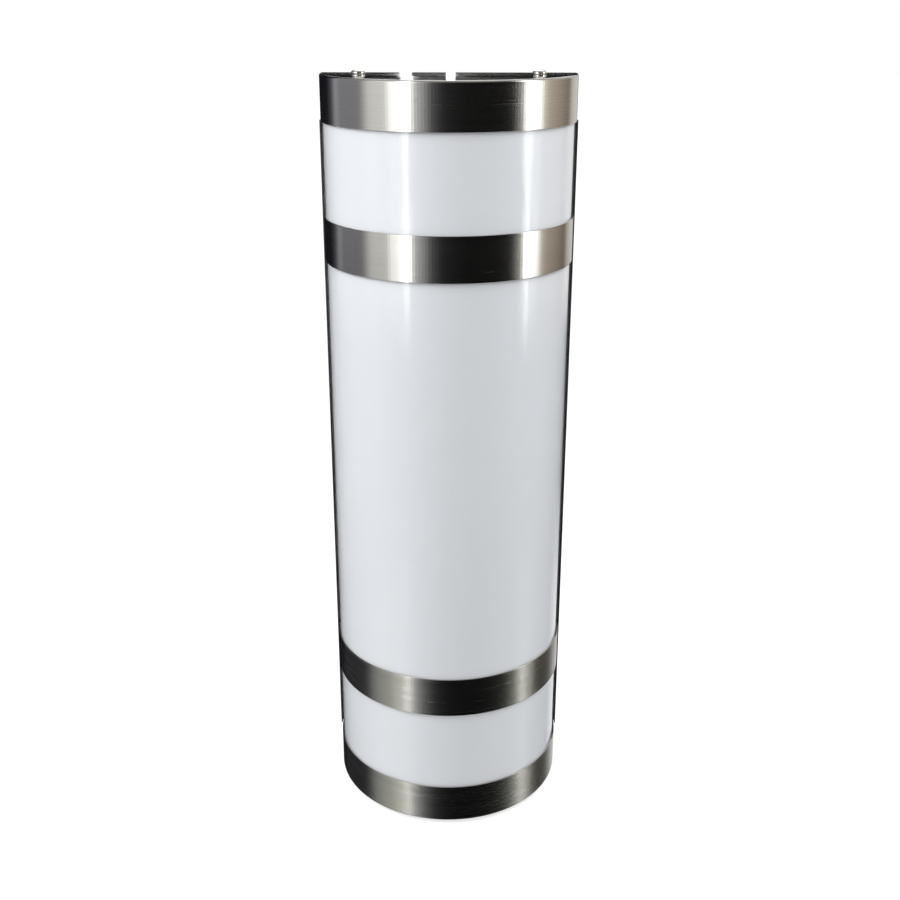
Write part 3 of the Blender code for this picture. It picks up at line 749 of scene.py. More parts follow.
@dataclass(frozen=True)
class BrushedMetal(Finish):
    """Metal brushed level all round, with rubbed edges."""

    metallic: float = 1.0
    anisotropy: float = 0.97
    quarter_turn: float = 0.25
    plate_roughness: float = 0.07
    lying_limit: float = 0.7
    along: float = 14.0
    across: float = 2600.0
    contrast: float = 0.09
    stroke_spread: float = 0.035
    drift_spread: float = 0.02
    depth: float = 0.0000022
    edge_radius: float = 0.0004
    rubbed: float = 1.35
    dust: float = 0.25
    dust_colour: Colour = (0.42, 0.41, 0.39)
    dust_dulling: float = 0.12

    def build(self, effects: Effects) -> bpy.types.Material:
        """Makes the material.

        Args:
            effects: The shared node groups.

        Returns:
            The material.
        """
        made, wiring, shader, places = self.start()
        here = places.outputs["Object"]
        parts = wiring.add("ShaderNodeSeparateXYZ", {0: here}).outputs
        level = wiring.add("ShaderNodeCombineXYZ", {0: parts["X"], 1: 0.0, 2: parts["Y"]})
        up = wiring.add("ShaderNodeSeparateXYZ", {0: places.outputs["Normal"]}).outputs["Z"]
        lying = wiring.maths("GREATER_THAN", wiring.maths("ABSOLUTE", up), self.lying_limit)
        turned = {0: lying, 4: here, 5: level.outputs[0]}
        vector = wiring.add("ShaderNodeMix", turned, data_type="VECTOR").outputs[1]
        stroked = self.group(wiring, effects.strokes, vector, self.along, self.across).outputs
        edges = self.group(wiring, effects.edges, here, self.edge_radius).outputs[0]
        dust = self.group(wiring, effects.dust, here, self.dust).outputs[0]
        strokes = stroked["Strokes"]
        colour = self.varied(wiring, strokes, self.contrast)
        colour = wiring.mixed(edges, colour, shade_of(self.colour, self.rubbed))
        colour = wiring.mixed(dust, colour, (*self.dust_colour, 1.0))
        wiring.link(colour, shader.inputs["Base Color"])
        low, high = self.roughness - self.stroke_spread, self.roughness + self.stroke_spread
        rough = wiring.spread(strokes, 0.0, 1.0, low, high)
        drift = wiring.spread(stroked["Drift"], 0.3, 0.7, -self.drift_spread, self.drift_spread)
        rough = wiring.maths("ADD", rough, drift)
        plate = wiring.maths("ADD", rough, self.plate_roughness - self.roughness)
        rough = wiring.maths("ADD", wiring.spread(lying, 0.0, 1.0, rough, plate),
                             wiring.maths("MULTIPLY", dust, self.dust_dulling))
        wiring.link(rough, shader.inputs["Roughness"])
        shader.inputs["Anisotropic"].default_value = self.anisotropy
        shader.inputs["Anisotropic Rotation"].default_value = self.quarter_turn
        self.bump(wiring, shader, strokes, self.depth)
        return made


@dataclass(frozen=True)
class Acrylic(Finish):
    """Opal acrylic: glossy, faintly cloudy, with the long shallow waves of its making."""

    grain: float = 700.0
    patches: float = 11.0
    cloud: float = 0.975
    cloud_dulling: float = 0.05
    dust: float = 0.35
    dust_colour: Colour = (0.5, 0.49, 0.47)
    ior: float = 1.49
    glow: float = 0.2
    glow_depth: float = 0.003
    wave_scale: Point = (60.0, 60.0, 16.0)
    wave_depth: float = 0.0004

    def build(self, effects: Effects) -> bpy.types.Material:
        """Makes the material.

        Args:
            effects: The shared node groups.

        Returns:
            The material.
        """
        made, wiring, shader, places = self.start()
        here = places.outputs["Object"]
        tone = self.group(wiring, effects.skin, here, self.grain, self.patches).outputs["Tone"]
        dust = self.group(wiring, effects.dust, here, self.dust).outputs[0]
        colour = wiring.mixed(tone, shade_of(self.colour, self.cloud), shade_of(self.colour, 1.0))
        colour = wiring.mixed(dust, colour, (*self.dust_colour, 1.0))
        wiring.link(colour, shader.inputs["Base Color"])
        dull = self.roughness + self.cloud_dulling
        wiring.link(wiring.spread(tone, 0.0, 1.0, self.roughness, dull), shader.inputs["Roughness"])
        shader.inputs["IOR"].default_value = self.ior
        shader.inputs["Subsurface Weight"].default_value = self.glow
        shader.inputs["Subsurface Radius"].default_value = (1.0, 1.0, 1.0)
        shader.inputs["Subsurface Scale"].default_value = self.glow_depth
        waves = wiring.noise(wiring.scaled(here, self.wave_scale), 1.0, 3.0)
        self.bump(wiring, shader, waves, self.wave_depth)
        return made


@dataclass(frozen=True)
class Skinned(Finish):
    """Paint, plastic, rubber or coated glass: an even skin with grain, rubbed edges and dust."""

    grain: float = 900.0
    patches: float = 25.0
    depth: float = 0.00001
    variation: float = 0.04
    polished: float = 0.04
    dulled: float = 0.06
    edge_radius: float = 0.0004
    rubbed: float = 1.12
    dust: float = 0.25
    dust_colour: Colour = (0.45, 0.44, 0.42)
    coat: float = 0.0
    coat_roughness: float = 0.05

    def build(self, effects: Effects) -> bpy.types.Material:
        """Makes the material.

        Args:
            effects: The shared node groups.

        Returns:
            The material.
        """
        made, wiring, shader, places = self.start()
        here = places.outputs["Object"]
        skin = self.group(wiring, effects.skin, here, self.grain, self.patches).outputs
        edges = self.group(wiring, effects.edges, here, self.edge_radius).outputs[0]
        dust = self.group(wiring, effects.dust, here, self.dust).outputs[0]
        colour = self.varied(wiring, skin["Tone"], self.variation)
        colour = wiring.mixed(edges, colour, shade_of(self.colour, self.rubbed))
        colour = wiring.mixed(dust, colour, (*self.dust_colour, 1.0))
        wiring.link(colour, shader.inputs["Base Color"])
        low, high = self.roughness - self.polished, self.roughness + self.dulled
        wiring.link(wiring.spread(skin["Tone"], 0.0, 1.0, low, high), shader.inputs["Roughness"])
        shader.inputs["Coat Weight"].default_value = self.coat
        shader.inputs["Coat Roughness"].default_value = self.coat_roughness
        self.bump(wiring, shader, skin["Height"], self.depth)
        return made


@dataclass(frozen=True)
class PlatedMetal(Finish):
    """Plated small parts: a fine crystal mottle over the metal."""

    metallic: float = 1.0
    crystals: float = 900.0
    grain: float = 2500.0
    patches: float = 120.0
    contrast: float = 0.12
    polished: float = 0.05
    dulled: float = 0.07
    edge_radius: float = 0.0003
    rubbed: float = 1.25
    depth: float = 0.000004

    def build(self, effects: Effects) -> bpy.types.Material:
        """Makes the material.

        Args:
            effects: The shared node groups.

        Returns:
            The material.
        """
        made, wiring, shader, places = self.start()
        here = places.outputs["Object"]
        cells = wiring.add("ShaderNodeTexVoronoi", {"Vector": here, "Scale": self.crystals})
        tone = wiring.add("ShaderNodeSeparateColor", {0: cells.outputs["Color"]}).outputs[0]
        skin = self.group(wiring, effects.skin, here, self.grain, self.patches).outputs
        edges = self.group(wiring, effects.edges, here, self.edge_radius).outputs[0]
        mottle = wiring.blended(tone, skin["Tone"], 0.5)
        colour = self.varied(wiring, mottle, self.contrast)
        colour = wiring.mixed(edges, colour, shade_of(self.colour, self.rubbed))
        wiring.link(colour, shader.inputs["Base Color"])
        low, high = self.roughness - self.polished, self.roughness + self.dulled
        wiring.link(wiring.spread(mottle, 0.0, 1.0, low, high), shader.inputs["Roughness"])
        self.bump(wiring, shader, skin["Height"], self.depth)
        return made


@dataclass(frozen=True)
class Lead(Skinned):
    """The glossy insulation of a lead."""

    grain: float = 3000.0
    patches: float = 80.0


class Palette:
    """Every material of the light, by its slot."""

    def __init__(self) -> None:
        """Makes every finish once."""
        effects = Effects()
        finishes = (
            BrushedMetal("brushed_nickel", (0.55, 0.53, 0.50), 0.25),
            BrushedMetal("pan_nickel", (0.50, 0.49, 0.47), 0.34, across=1800.0),
            Acrylic("opal_acrylic", (0.79, 0.812, 0.845), 0.06),
            PlatedMetal("bright_screw", (0.72, 0.70, 0.66), 0.18, crystals=2500.0, contrast=0.06),
            Skinned("white_paint", (0.86, 0.87, 0.86), 0.28, grain=1300.0, depth=0.000015,
                    coat=0.3),
            Skinned("moulded_white", (0.82, 0.82, 0.79), 0.45, grain=2200.0, dust=0.15),
            Skinned("lamp_glass", (0.93, 0.93, 0.91), 0.4, grain=2600.0, patches=60.0,
                    depth=0.000003, variation=0.025, dust=0.1, coat=1.0),
            BrushedMetal("ferrule_metal", (0.80, 0.80, 0.79), 0.3, across=3000.0, contrast=0.08,
                         dust=0.1),
            PlatedMetal("zinc_plate", (0.62, 0.63, 0.64), 0.38),
            Skinned("black_rubber", (0.03, 0.03, 0.03), 0.6, grain=1800.0, variation=0.3, dust=0.4),
            Lead("black_lead", (0.02, 0.02, 0.02), 0.42, variation=0.25),
            Lead("white_lead", (0.85, 0.85, 0.83), 0.42),
            Lead("green_lead", (0.03, 0.30, 0.08), 0.42, variation=0.12),
            Lead("red_lead", (0.70, 0.07, 0.05), 0.42, variation=0.1),
            Lead("blue_lead", (0.08, 0.17, 0.60), 0.42, variation=0.1),
        )
        self.materials = {finish.name: finish.build(effects) for finish in finishes}

    def dress(self, piece: bpy.types.Object, body: str, slot: str, *nodes: str) -> None:
        """Dresses a finished piece, hangs it on the body that it moves with and hides the CAD nodes
        that it stands for.

        Args:
            piece: The piece, with its place in its mesh.
            body: The body that it moves with.
            slot: The material slot that it takes its finish from.
            *nodes: The CAD nodes that it stands for.
        """
        piece.data.materials.clear()
        piece.data.materials.append(self.materials[slot])
        for face in piece.data.polygons:
            face.material_index = 0
        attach(piece, body)
        if nodes:
            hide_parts(*nodes)


# ---------------------------------------------------------------- cover


@dataclass
class Cover:
    """The part that lifts off: four bands, the two end plates and the diffuser."""

    palette: Palette
    band_radius: float = 0.0814
    sheet: float = 0.001
    band_height: float = 0.0285
    band_high: float = 0.166
    band_edge: float = 0.00022
    hook: float = 0.006
    rim: float = 0.0015
    cap_edge: float = 0.0002
    diffuser_radius: float = 0.080
    diffuser_wall: float = 0.003
    diffuser_rear: float = 0.0024
    diffuser_edge: float = 0.0005
    slot_half: float = 0.0026
    sides: int = 256

    def half_shell(
        self, name: str, radius: float, low: float, high: float, rear: float,
        plate: bool = False) -> bpy.types.Object:
        """Makes a thin half-round shell, open to the rear.

        Args:
            name: The object's name.
            radius: Its outer radius.
            low: Its lower edge.
            high: Its upper edge.
            rear: How far the rear edges stand off the wall.
            plate: Whether its upper end is closed.

        Returns:
            The object, with its faces outwards.
        """
        ends = "NGON" if plate else "NOTHING"
        centre = (0.0, -CENTRE_DEPTH)
        shell = add_cylinder(name, radius, low, high, self.sides, ends, centre)
        with editing(shell, Pick.FACES):
            if plate:
                select_where(shell, Pick.FACES, lambda face: all_near(face, 2, low))
                bpy.ops.mesh.delete(type="FACE")
            bpy.ops.mesh.select_all(action="SELECT")
            bpy.ops.mesh.bisect(plane_co=(*centre, 0), plane_no=(0, 1, 0), clear_outer=True)

        def is_rear(edge: bmesh.types.BMEdge) -> bool:
            """Says whether an edge bounds the shell at its centre line."""
            return all_near(edge, 1, -CENTRE_DEPTH) and edge.is_boundary

        with editing(shell, Pick.EDGES):
            select_where(shell, Pick.EDGES, is_rear)
            slide_out((0, CENTRE_DEPTH - rear, 0))
        face_outwards(shell)
        return shell

    def turn_hooks(self, shell: bpy.types.Object, high: float) -> None:
        """Bends the shell's upright rear edges inwards, behind the diffuser.

        Args:
            shell: The band or the cap.
            high: The level under which its rear edges are bent.
        """
        for side in (-1, 1):
            def is_end(edge: bmesh.types.BMEdge, side: int = side) -> bool:
                """Says whether an edge is this side's upright rear edge.

                Args:
                    edge: An edge of the shell.
                    side: -1 for the left side and 1 for the right.

                Returns:
                    Whether it is bent inwards.
                """
                first, last = (corner.co for corner in edge.verts)
                inside = all(end.z < high + NEAR and end.x * side > 0 for end in (first, last))
                return all_near(edge, 1, -PAN_FRONT) and inside and abs(first.x - last.x) < NEAR

            with editing(shell, Pick.EDGES):
                select_where(shell, Pick.EDGES, is_end)
                slide_out((-side * self.hook, 0, 0))
        face_outwards(shell)

    def make_diffuser(self) -> None:
        """The opal half tube behind the bands."""
        shell = self.half_shell(
            "diffuser_shell", self.diffuser_radius, -PAN_HALF, PAN_HALF, self.diffuser_rear)
        modify(shell, "SOLIDIFY", thickness=self.diffuser_wall, offset=-1.0, use_even_offset=True)
        soften(shell, self.diffuser_edge, 3, 50.0)
        self.palette.dress(shell, "cover", "opal_acrylic", "diffuser")

    def make_middle_bands(self) -> None:
        """The two bands with nothing above them."""
        low, high = self.band_high - self.band_height, self.band_high
        upper = self.half_shell("upper_band_strip", self.band_radius, low, high, PAN_FRONT)
        self.turn_hooks(upper, high)
        modify(upper, "SOLIDIFY", thickness=self.sheet, offset=-1.0, use_even_offset=True)
        soften(upper, self.band_edge, 3)
        lower = copy_piece(upper, "lower_band_strip", Matrix.Translation((0, 0, -low - high)))
        for level, strip in ((Level.UPPER, upper), (Level.LOWER, lower)):
            self.palette.dress(strip, "cover", "brushed_nickel", f"{level.word}_band")

    def make_caps(self) -> None:
        """The end plates with their bands: one formed sheet each, with a rolled rim."""
        low = HALF_HEIGHT - self.band_height
        top = self.half_shell(
            "top_cap_shell", self.band_radius, low, HALF_HEIGHT, PAN_FRONT, plate=True)

        def on_rim(edge: bmesh.types.BMEdge) -> bool:
            """Says whether an edge lies between the plate and the band."""
            rear = edge.is_boundary or all_near(edge, 1, -CENTRE_DEPTH)
            return all_near(edge, 2, HALF_HEIGHT) and not rear

        round_edges(top, self.rim, 8, on_rim)
        self.turn_hooks(top, HALF_HEIGHT - self.rim)
        modify(top, "SOLIDIFY", thickness=self.sheet, offset=-1.0, use_even_offset=True)
        for side in (-SCREW_SIDE, SCREW_SIDE):
            self.cut_slot(top, side)
        soften(top, self.cap_edge, 3)
        bottom = copy_piece(top, "bottom_cap_shell", Matrix.Rotation(math.pi, 4, "Y"))
        for word, cap in (("top", top), ("bottom", bottom)):
            self.palette.dress(cap, "cover", "brushed_nickel", f"{word}_end_cap")

    def cut_slot(self, cap: bpy.types.Object, side: float) -> None:
        """Cuts the slot that clears a cover screw, open to the rear.

        Args:
            cap: The top cap.
            side: The x of the screw.
        """
        low, high = HALF_HEIGHT - 2 * self.sheet, HALF_HEIGHT + self.sheet
        place = (side, -SCREW_DEPTH)
        cut_away(cap, add_cylinder("slot_end", self.slot_half, low, high, 48, centre=place))
        cut_away(cap, add_box("slot_run", (side - self.slot_half, -SCREW_DEPTH, low),
                              (side + self.slot_half, self.sheet, high)))

    def build(self) -> None:
        """Makes the whole cover."""
        self.make_diffuser()
        self.make_middle_bands()
        self.make_caps()


# ---------------------------------------------------------------- fixings


@dataclass
class CoverScrews:
    """The four screws that hold the cover: domed heads, cross recesses and threaded shanks."""

    palette: Palette
    head_radius: float = 0.0044
    head_height: float = 0.00227
    bearing: float = 0.97
    brim: float = 0.12
    crown: float = 0.62
    rise: float = 0.80
    shank: float = 0.002
    root: float = 0.00165
    length: float = 0.010
    recess_depth: float = 0.0014
    recess_span: float = 0.0052
    recess_width: float = 0.00105
    recess_taper: float = 0.62
    edge: float = 0.00008

    def profile(self) -> list[tuple[float, float]]:
        """Draws the half section: shank with its thread, the bearing face and the dome.

        Returns:
            The (radius, z) points from the shank's end to the top of the head.
        """
        points = [(0.0, -self.length), (self.root, -self.length)]
        level = -self.length + THREAD_PITCH / 2
        while level < -THREAD_PITCH:
            points += [(self.shank, level), (self.root, level + THREAD_PITCH / 2)]
            level += THREAD_PITCH
        low, rise = self.head_height * self.brim, self.head_height * self.rise
        wall = self.head_radius
        points += [(self.root, 0.0), (wall * self.bearing, 0.0), (wall, low)]
        crown = wall * self.crown
        turn = wall - crown
        for step in range(1, 8):
            angle = math.radians(90 * step / 8)
            points.append((crown + turn * math.cos(angle), low + (rise - low) * math.sin(angle)))
        points += [(crown, rise), (crown * 0.6, self.head_height * 0.95), (0.0, self.head_height)]
        return points

    def cut_recess(self, screw: bpy.types.Object, centre: Point) -> None:
        """Cuts the cross recess, narrower at its bottom.

        Args:
            screw: The turned screw.
            centre: The middle of its bearing face.
        """
        x, y, z = centre
        top, bottom = z + self.head_height * 1.3, z + self.head_height - self.recess_depth
        span, width, taper = self.recess_span, self.recess_width, self.recess_taper
        for wide, deep in ((span, width), (width, span)):
            cutter = add_box("recess", (x - wide / 2, y - deep / 2, bottom),
                             (x + wide / 2, y + deep / 2, top))
            with editing(cutter, Pick.FACES):
                select_where(cutter, Pick.FACES, lambda face: all_near(face, 2, bottom))
                bpy.ops.transform.resize(value=(taper, taper, 1.0), center_override=(x, y, bottom))
            cut_away(screw, cutter)

    def build(self) -> None:
        """Makes one screw and sets its copies."""
        home = (-SCREW_SIDE, -SCREW_DEPTH, HALF_HEIGHT + CLEARANCE)
        first = add_turned("screw_upper_left", self.profile(), 40, home)
        self.cut_recess(first, home)
        soften(first, self.edge, 2, 40.0)
        screws = {(Level.UPPER, Hand.LEFT): first}
        across = Matrix.Translation((2 * SCREW_SIDE, 0, 0))
        over = Matrix.Rotation(math.pi, 4, "Y")
        turns = {(Level.UPPER, Hand.RIGHT): across, (Level.LOWER, Hand.RIGHT): over,
                 (Level.LOWER, Hand.LEFT): over @ across}
        for (level, hand), turn in turns.items():
            screws[level, hand] = copy_piece(first, f"screw_{level.word}_{hand.word}", turn)
        for (level, hand), screw in screws.items():
            node = f"cover_screw_{level.word}_{hand.word}"
            self.palette.dress(screw, "pan", "bright_screw", node)


# ---------------------------------------------------------------- pan and sheet metal


@dataclass(frozen=True)
class Studs:
    """The threaded studs welded to the pan: their thread, and where each one stands."""

    crest: float = 0.002
    root: float = 0.0017
    grip: float = 0.0048
    foot_side: float = 0.0559
    foot_height: float = 0.150
    ears: tuple[float, float] = (-0.197, -0.007)
    block: Point = (0.024, 0.075, 0.0151)
    lug: Point = (-0.022, 0.060, PLATE_FRONT)

    def places(self) -> dict[str, Point]:
        """Lists the studs, in the order in which they are welded.

        Returns:
            Each stud's x, its z and how far it stands out from the wall, by its nut's name.
        """
        side, height = self.foot_side, self.foot_height
        fronts = {
            "wireway_nut_lower_left": (-side, -height, PLATE_FRONT),
            "wireway_nut_upper_left": (-side, height, PLATE_FRONT),
            "wireway_nut_lower_right": (side, -height, PLATE_FRONT),
            "wireway_nut_upper_right": (side, height, PLATE_FRONT),
            "ballast_nut_lower": (0.0, self.ears[0], PLATE_FRONT),
            "ballast_nut_upper": (0.0, self.ears[1], PLATE_FRONT),
            "terminal_block_nut": self.block,
            "earth_nut": self.lug,
        }
        return {name: (x, z, front + self.grip) for name, (x, z, front) in fronts.items()}


STUDS = Studs()


@dataclass
class BackPan:
    """The folded pan: lips, flanges that carry the cover, holes and welded studs."""

    palette: Palette
    sheet: float = 0.0008
    bend: float = 0.0012
    edge: float = 0.00012
    lip_depth: float = 0.005
    lip_half: float = 0.2252
    cap_side: float = 0.0814
    flange_half: float = 0.0699
    flange_depth: float = 0.026
    flange_corner: float = 0.005
    screw_bore: float = 0.0023
    hole_radius: float = 0.011
    hole_height: float = 0.024
    slot_side: float = 0.040
    slot_reach: float = 0.00575
    slot_radius: float = 0.00275
    weld_radius: float = 0.0028
    weld_height: float = 0.0005

    def fold_sheet(self) -> bpy.types.Object:
        """Folds the sheet and narrows its corners, where the end caps reach back.

        Returns:
            The pan, so far.
        """
        side, depth = HALF_WIDTH, -self.lip_depth
        fold = [(-side, depth), (-side, 0.0), (side, 0.0), (side, depth)]
        pan = add_folded("back_pan_sheet", fold, -PAN_HALF, PAN_HALF, self.sheet, self.bend)
        for low, high in ((-2 * side, -self.cap_side), (self.cap_side, 2 * side)):
            for bottom, top in ((self.lip_half, HALF_HEIGHT), (-HALF_HEIGHT, -self.lip_half)):
                notch = add_box("corner_notch", (low, 2 * depth, bottom), (high, -depth, top))
                cut_away(pan, notch)
        return pan

    def add_flanges(self, pan: bpy.types.Object) -> None:
        """Turns a flange out at each end, with round corners and the screws' bores.

        Args:
            pan: The folded pan.
        """
        inner, root = PAN_HALF - self.sheet, -self.sheet / 2
        upper = add_box("upper_flange", (-self.flange_half, -self.flange_depth, inner),
                        (self.flange_half, root, PAN_HALF))

        def on_corner(edge: bmesh.types.BMEdge) -> bool:
            """Says whether an edge is one of the flange's two upright front corners.

            Args:
                edge: An edge of the flange.

            Returns:
                Whether it is rounded.
            """
            first, last = (corner.co for corner in edge.verts)
            upright = abs(first.x - last.x) < NEAR < abs(first.z - last.z)
            return all_near(edge, 1, -self.flange_depth) and upright

        round_edges(upper, self.flange_corner, 6, on_corner)
        for side in (-SCREW_SIDE, SCREW_SIDE):
            cut_away(upper, add_cylinder(
                "screw_bore", self.screw_bore, inner - self.sheet, HALF_HEIGHT, 40,
                centre=(side, -SCREW_DEPTH)))
        lower = copy_piece(upper, "lower_flange", Matrix.Rotation(math.pi, 4, "Y"))
        weld(pan, upper)
        weld(pan, lower)

    def cut_holes(self, pan: bpy.types.Object) -> None:
        """Cuts the wire hole and the two level slots for a wall box's screws.

        Args:
            pan: The folded pan.
        """
        deep, reach, radius = 2 * self.sheet, self.slot_reach, self.slot_radius
        wire_place = (0.0, self.hole_height)
        cut_away(pan, add_peg("wire_hole", self.hole_radius, wire_place, -deep, deep, 64))
        for side in (-self.slot_side, self.slot_side):
            for end in (side - reach, side + reach):
                cut_away(pan, add_peg("slot_end", radius, (end, 0.0), -deep, deep, 32))
            cut_away(pan, add_box("slot_run", (side - reach, -deep, -radius),
                                  (side + reach, deep, radius)))

    def weld_studs(self, pan: bpy.types.Object) -> None:
        """Stands the threaded studs on the pan, each with the small flash of its weld.

        Args:
            pan: The pan, with its holes.
        """
        face, radius = self.sheet, self.weld_radius
        top = face + 2 * self.weld_height
        flash = [(0.0, face / 2), (radius, face / 2), (radius, face),
                 (radius * 0.8, face + self.weld_height), (STUDS.root, top)]
        studs = []
        for x, z, reach in STUDS.places().values():
            rod = thread_profile(STUDS.crest, STUDS.root, top, reach)
            stud = add_turned(f"stud_{len(studs)}", [*flash, *rod, (0.0, reach)], 24)
            aim_front(stud, (x, 0.0, z))
            smooth(stud, 50.0)
            studs.append(stud)
        merge_in(pan, studs)

    def build(self) -> None:
        """Makes the pan."""
        pan = self.fold_sheet()
        self.add_flanges(pan)
        self.cut_holes(pan)
        soften(pan, self.edge, 2)
        self.weld_studs(pan)
        self.palette.dress(pan, "pan", "pan_nickel", "back_pan")


@dataclass
class Wireway:
    """The white channel over the wiring, which is also the lamps' reflector."""

    palette: Palette
    half_height: float = 0.2117
    half_width: float = 0.0605
    wall_foot: float = 0.0513
    crest: float = 0.0453
    front_depth: float = 0.025
    sheet: float = 0.0008
    bend: float = 0.0016
    edge: float = 0.00012
    bore: float = 0.0023
    bead_half: float = 0.170
    bead_width: float = 0.007
    bead_rise: float = 0.0006

    def build(self) -> None:
        """Folds the channel, presses a stiffening bead into its front and bores its feet."""
        right = [(self.crest, -self.front_depth), (self.wall_foot, -PLATE_FRONT),
                 (self.half_width, -PLATE_FRONT)]
        fold = [(-x, y) for x, y in right[::-1]] + right
        channel = add_folded(
            "wireway_channel", fold, -self.half_height, self.half_height, self.sheet, self.bend)
        self.press_bead(channel)
        for x in (-STUDS.foot_side, STUDS.foot_side):
            for z in (-STUDS.foot_height, STUDS.foot_height):
                cut_away(channel, add_peg("foot_bore", self.bore, (x, z), 0.0, 2 * PLATE_FRONT, 32))
        soften(channel, self.edge, 2)
        self.palette.dress(channel, "pan", "white_paint", "wireway_cover")

    def press_bead(self, channel: bpy.types.Object) -> None:
        """Presses one long shallow bead inwards along the middle of the front.

        Args:
            channel: The folded channel.
        """
        half, sunk = self.bead_width / 2, self.front_depth - self.bead_rise
        cut_away(channel, add_box("bead", (-half, -self.front_depth - self.sheet, -self.bead_half),
                                  (half, -sunk, self.bead_half)))
        back = self.front_depth - self.sheet
        wide, tall = half + self.sheet, self.bead_half + self.sheet
        weld(channel, add_box("bead_back", (-wide, -back - self.sheet / 4, -tall),
                              (wide, -back + self.bead_rise, tall)))


@dataclass
class Brackets:
    """The two folded plates that carry the lampholders."""

    palette: Palette
    face: float = 0.2315
    foot: float = 0.012
    foot_rear: float = 0.0011
    crest: float = 0.048
    half_width: float = 0.0553952
    sheet: float = 0.001
    bend: float = 0.0018
    corner: float = 0.006
    edge: float = 0.00015
    window_half: float = 0.0038
    spot_sides: tuple[float, ...] = (-0.045, -0.015, 0.015, 0.045)
    spot_share: float = 0.58
    spot_radius: float = 0.0018
    spot_rise: float = 0.00015

    def build(self) -> None:
        """Folds one bracket, cuts its windows, marks its spot welds and copies it."""
        fold = [(-self.crest, self.face), (-self.foot_rear, self.face),
                (-self.foot_rear, self.face + self.foot)]
        wide, half = self.half_width, self.window_half
        upper = add_folded("upper_bracket_plate", fold, -wide, wide, self.sheet, self.bend)
        upper.matrix_world = Matrix(((0, 0, 1, 0), (1, 0, 0, 0), (0, 1, 0, 0), (0, 0, 0, 1)))
        place_in_mesh(upper)
        self.round_corners(upper)
        for side in (-LAMP_SIDE, LAMP_SIDE):
            low = (side - half, -LAMP_DEPTH - half, self.face - self.sheet)
            high = (side + half, -LAMP_DEPTH + half, self.face + 2 * self.sheet)
            cut_away(upper, add_box("window", low, high))
        soften(upper, self.edge, 2)
        self.mark_spots(upper)
        lower = copy_piece(upper, "lower_bracket_plate", Matrix.Rotation(math.pi, 4, "Y"))
        for word, plate in (("upper", upper), ("lower", lower)):
            self.palette.dress(plate, "pan", "white_paint", f"{word}_bracket")

    def round_corners(self, plate: bpy.types.Object) -> None:
        """Rounds the two free corners of the upright plate.

        Args:
            plate: The folded plate.
        """
        def on_corner(edge: bmesh.types.BMEdge) -> bool:
            """Says whether an edge runs through the sheet at a free corner.

            Args:
                edge: An edge of the plate.

            Returns:
                Whether it is rounded.
            """
            first, last = (corner.co for corner in edge.verts)
            upright = abs(first.x - last.x) < NEAR < abs(first.z - last.z)
            return all_near(edge, 1, -self.crest) and upright

        round_edges(plate, self.corner, 6, on_corner)

    def mark_spots(self, plate: bpy.types.Object) -> None:
        """Adds the round marks of the spot welds on the foot.

        Args:
            plate: The finished plate.
        """
        front, radius, rise = self.foot_rear + self.sheet, self.spot_radius, self.spot_rise
        dome = [(0.0, front - self.sheet / 2), (radius, front - self.sheet / 2), (radius, front),
                (radius * 0.6, front + rise), (0.0, front + rise * 0.6)]
        spots = []
        for x in self.spot_sides:
            spot = add_turned(f"spot_{len(spots)}", dome, 24)
            aim_front(spot, (x, 0.0, self.face + self.foot * self.spot_share))
            smooth(spot, 60.0)
            spots.append(spot)
        merge_in(plate, spots)


# ---------------------------------------------------------------- fixings inside


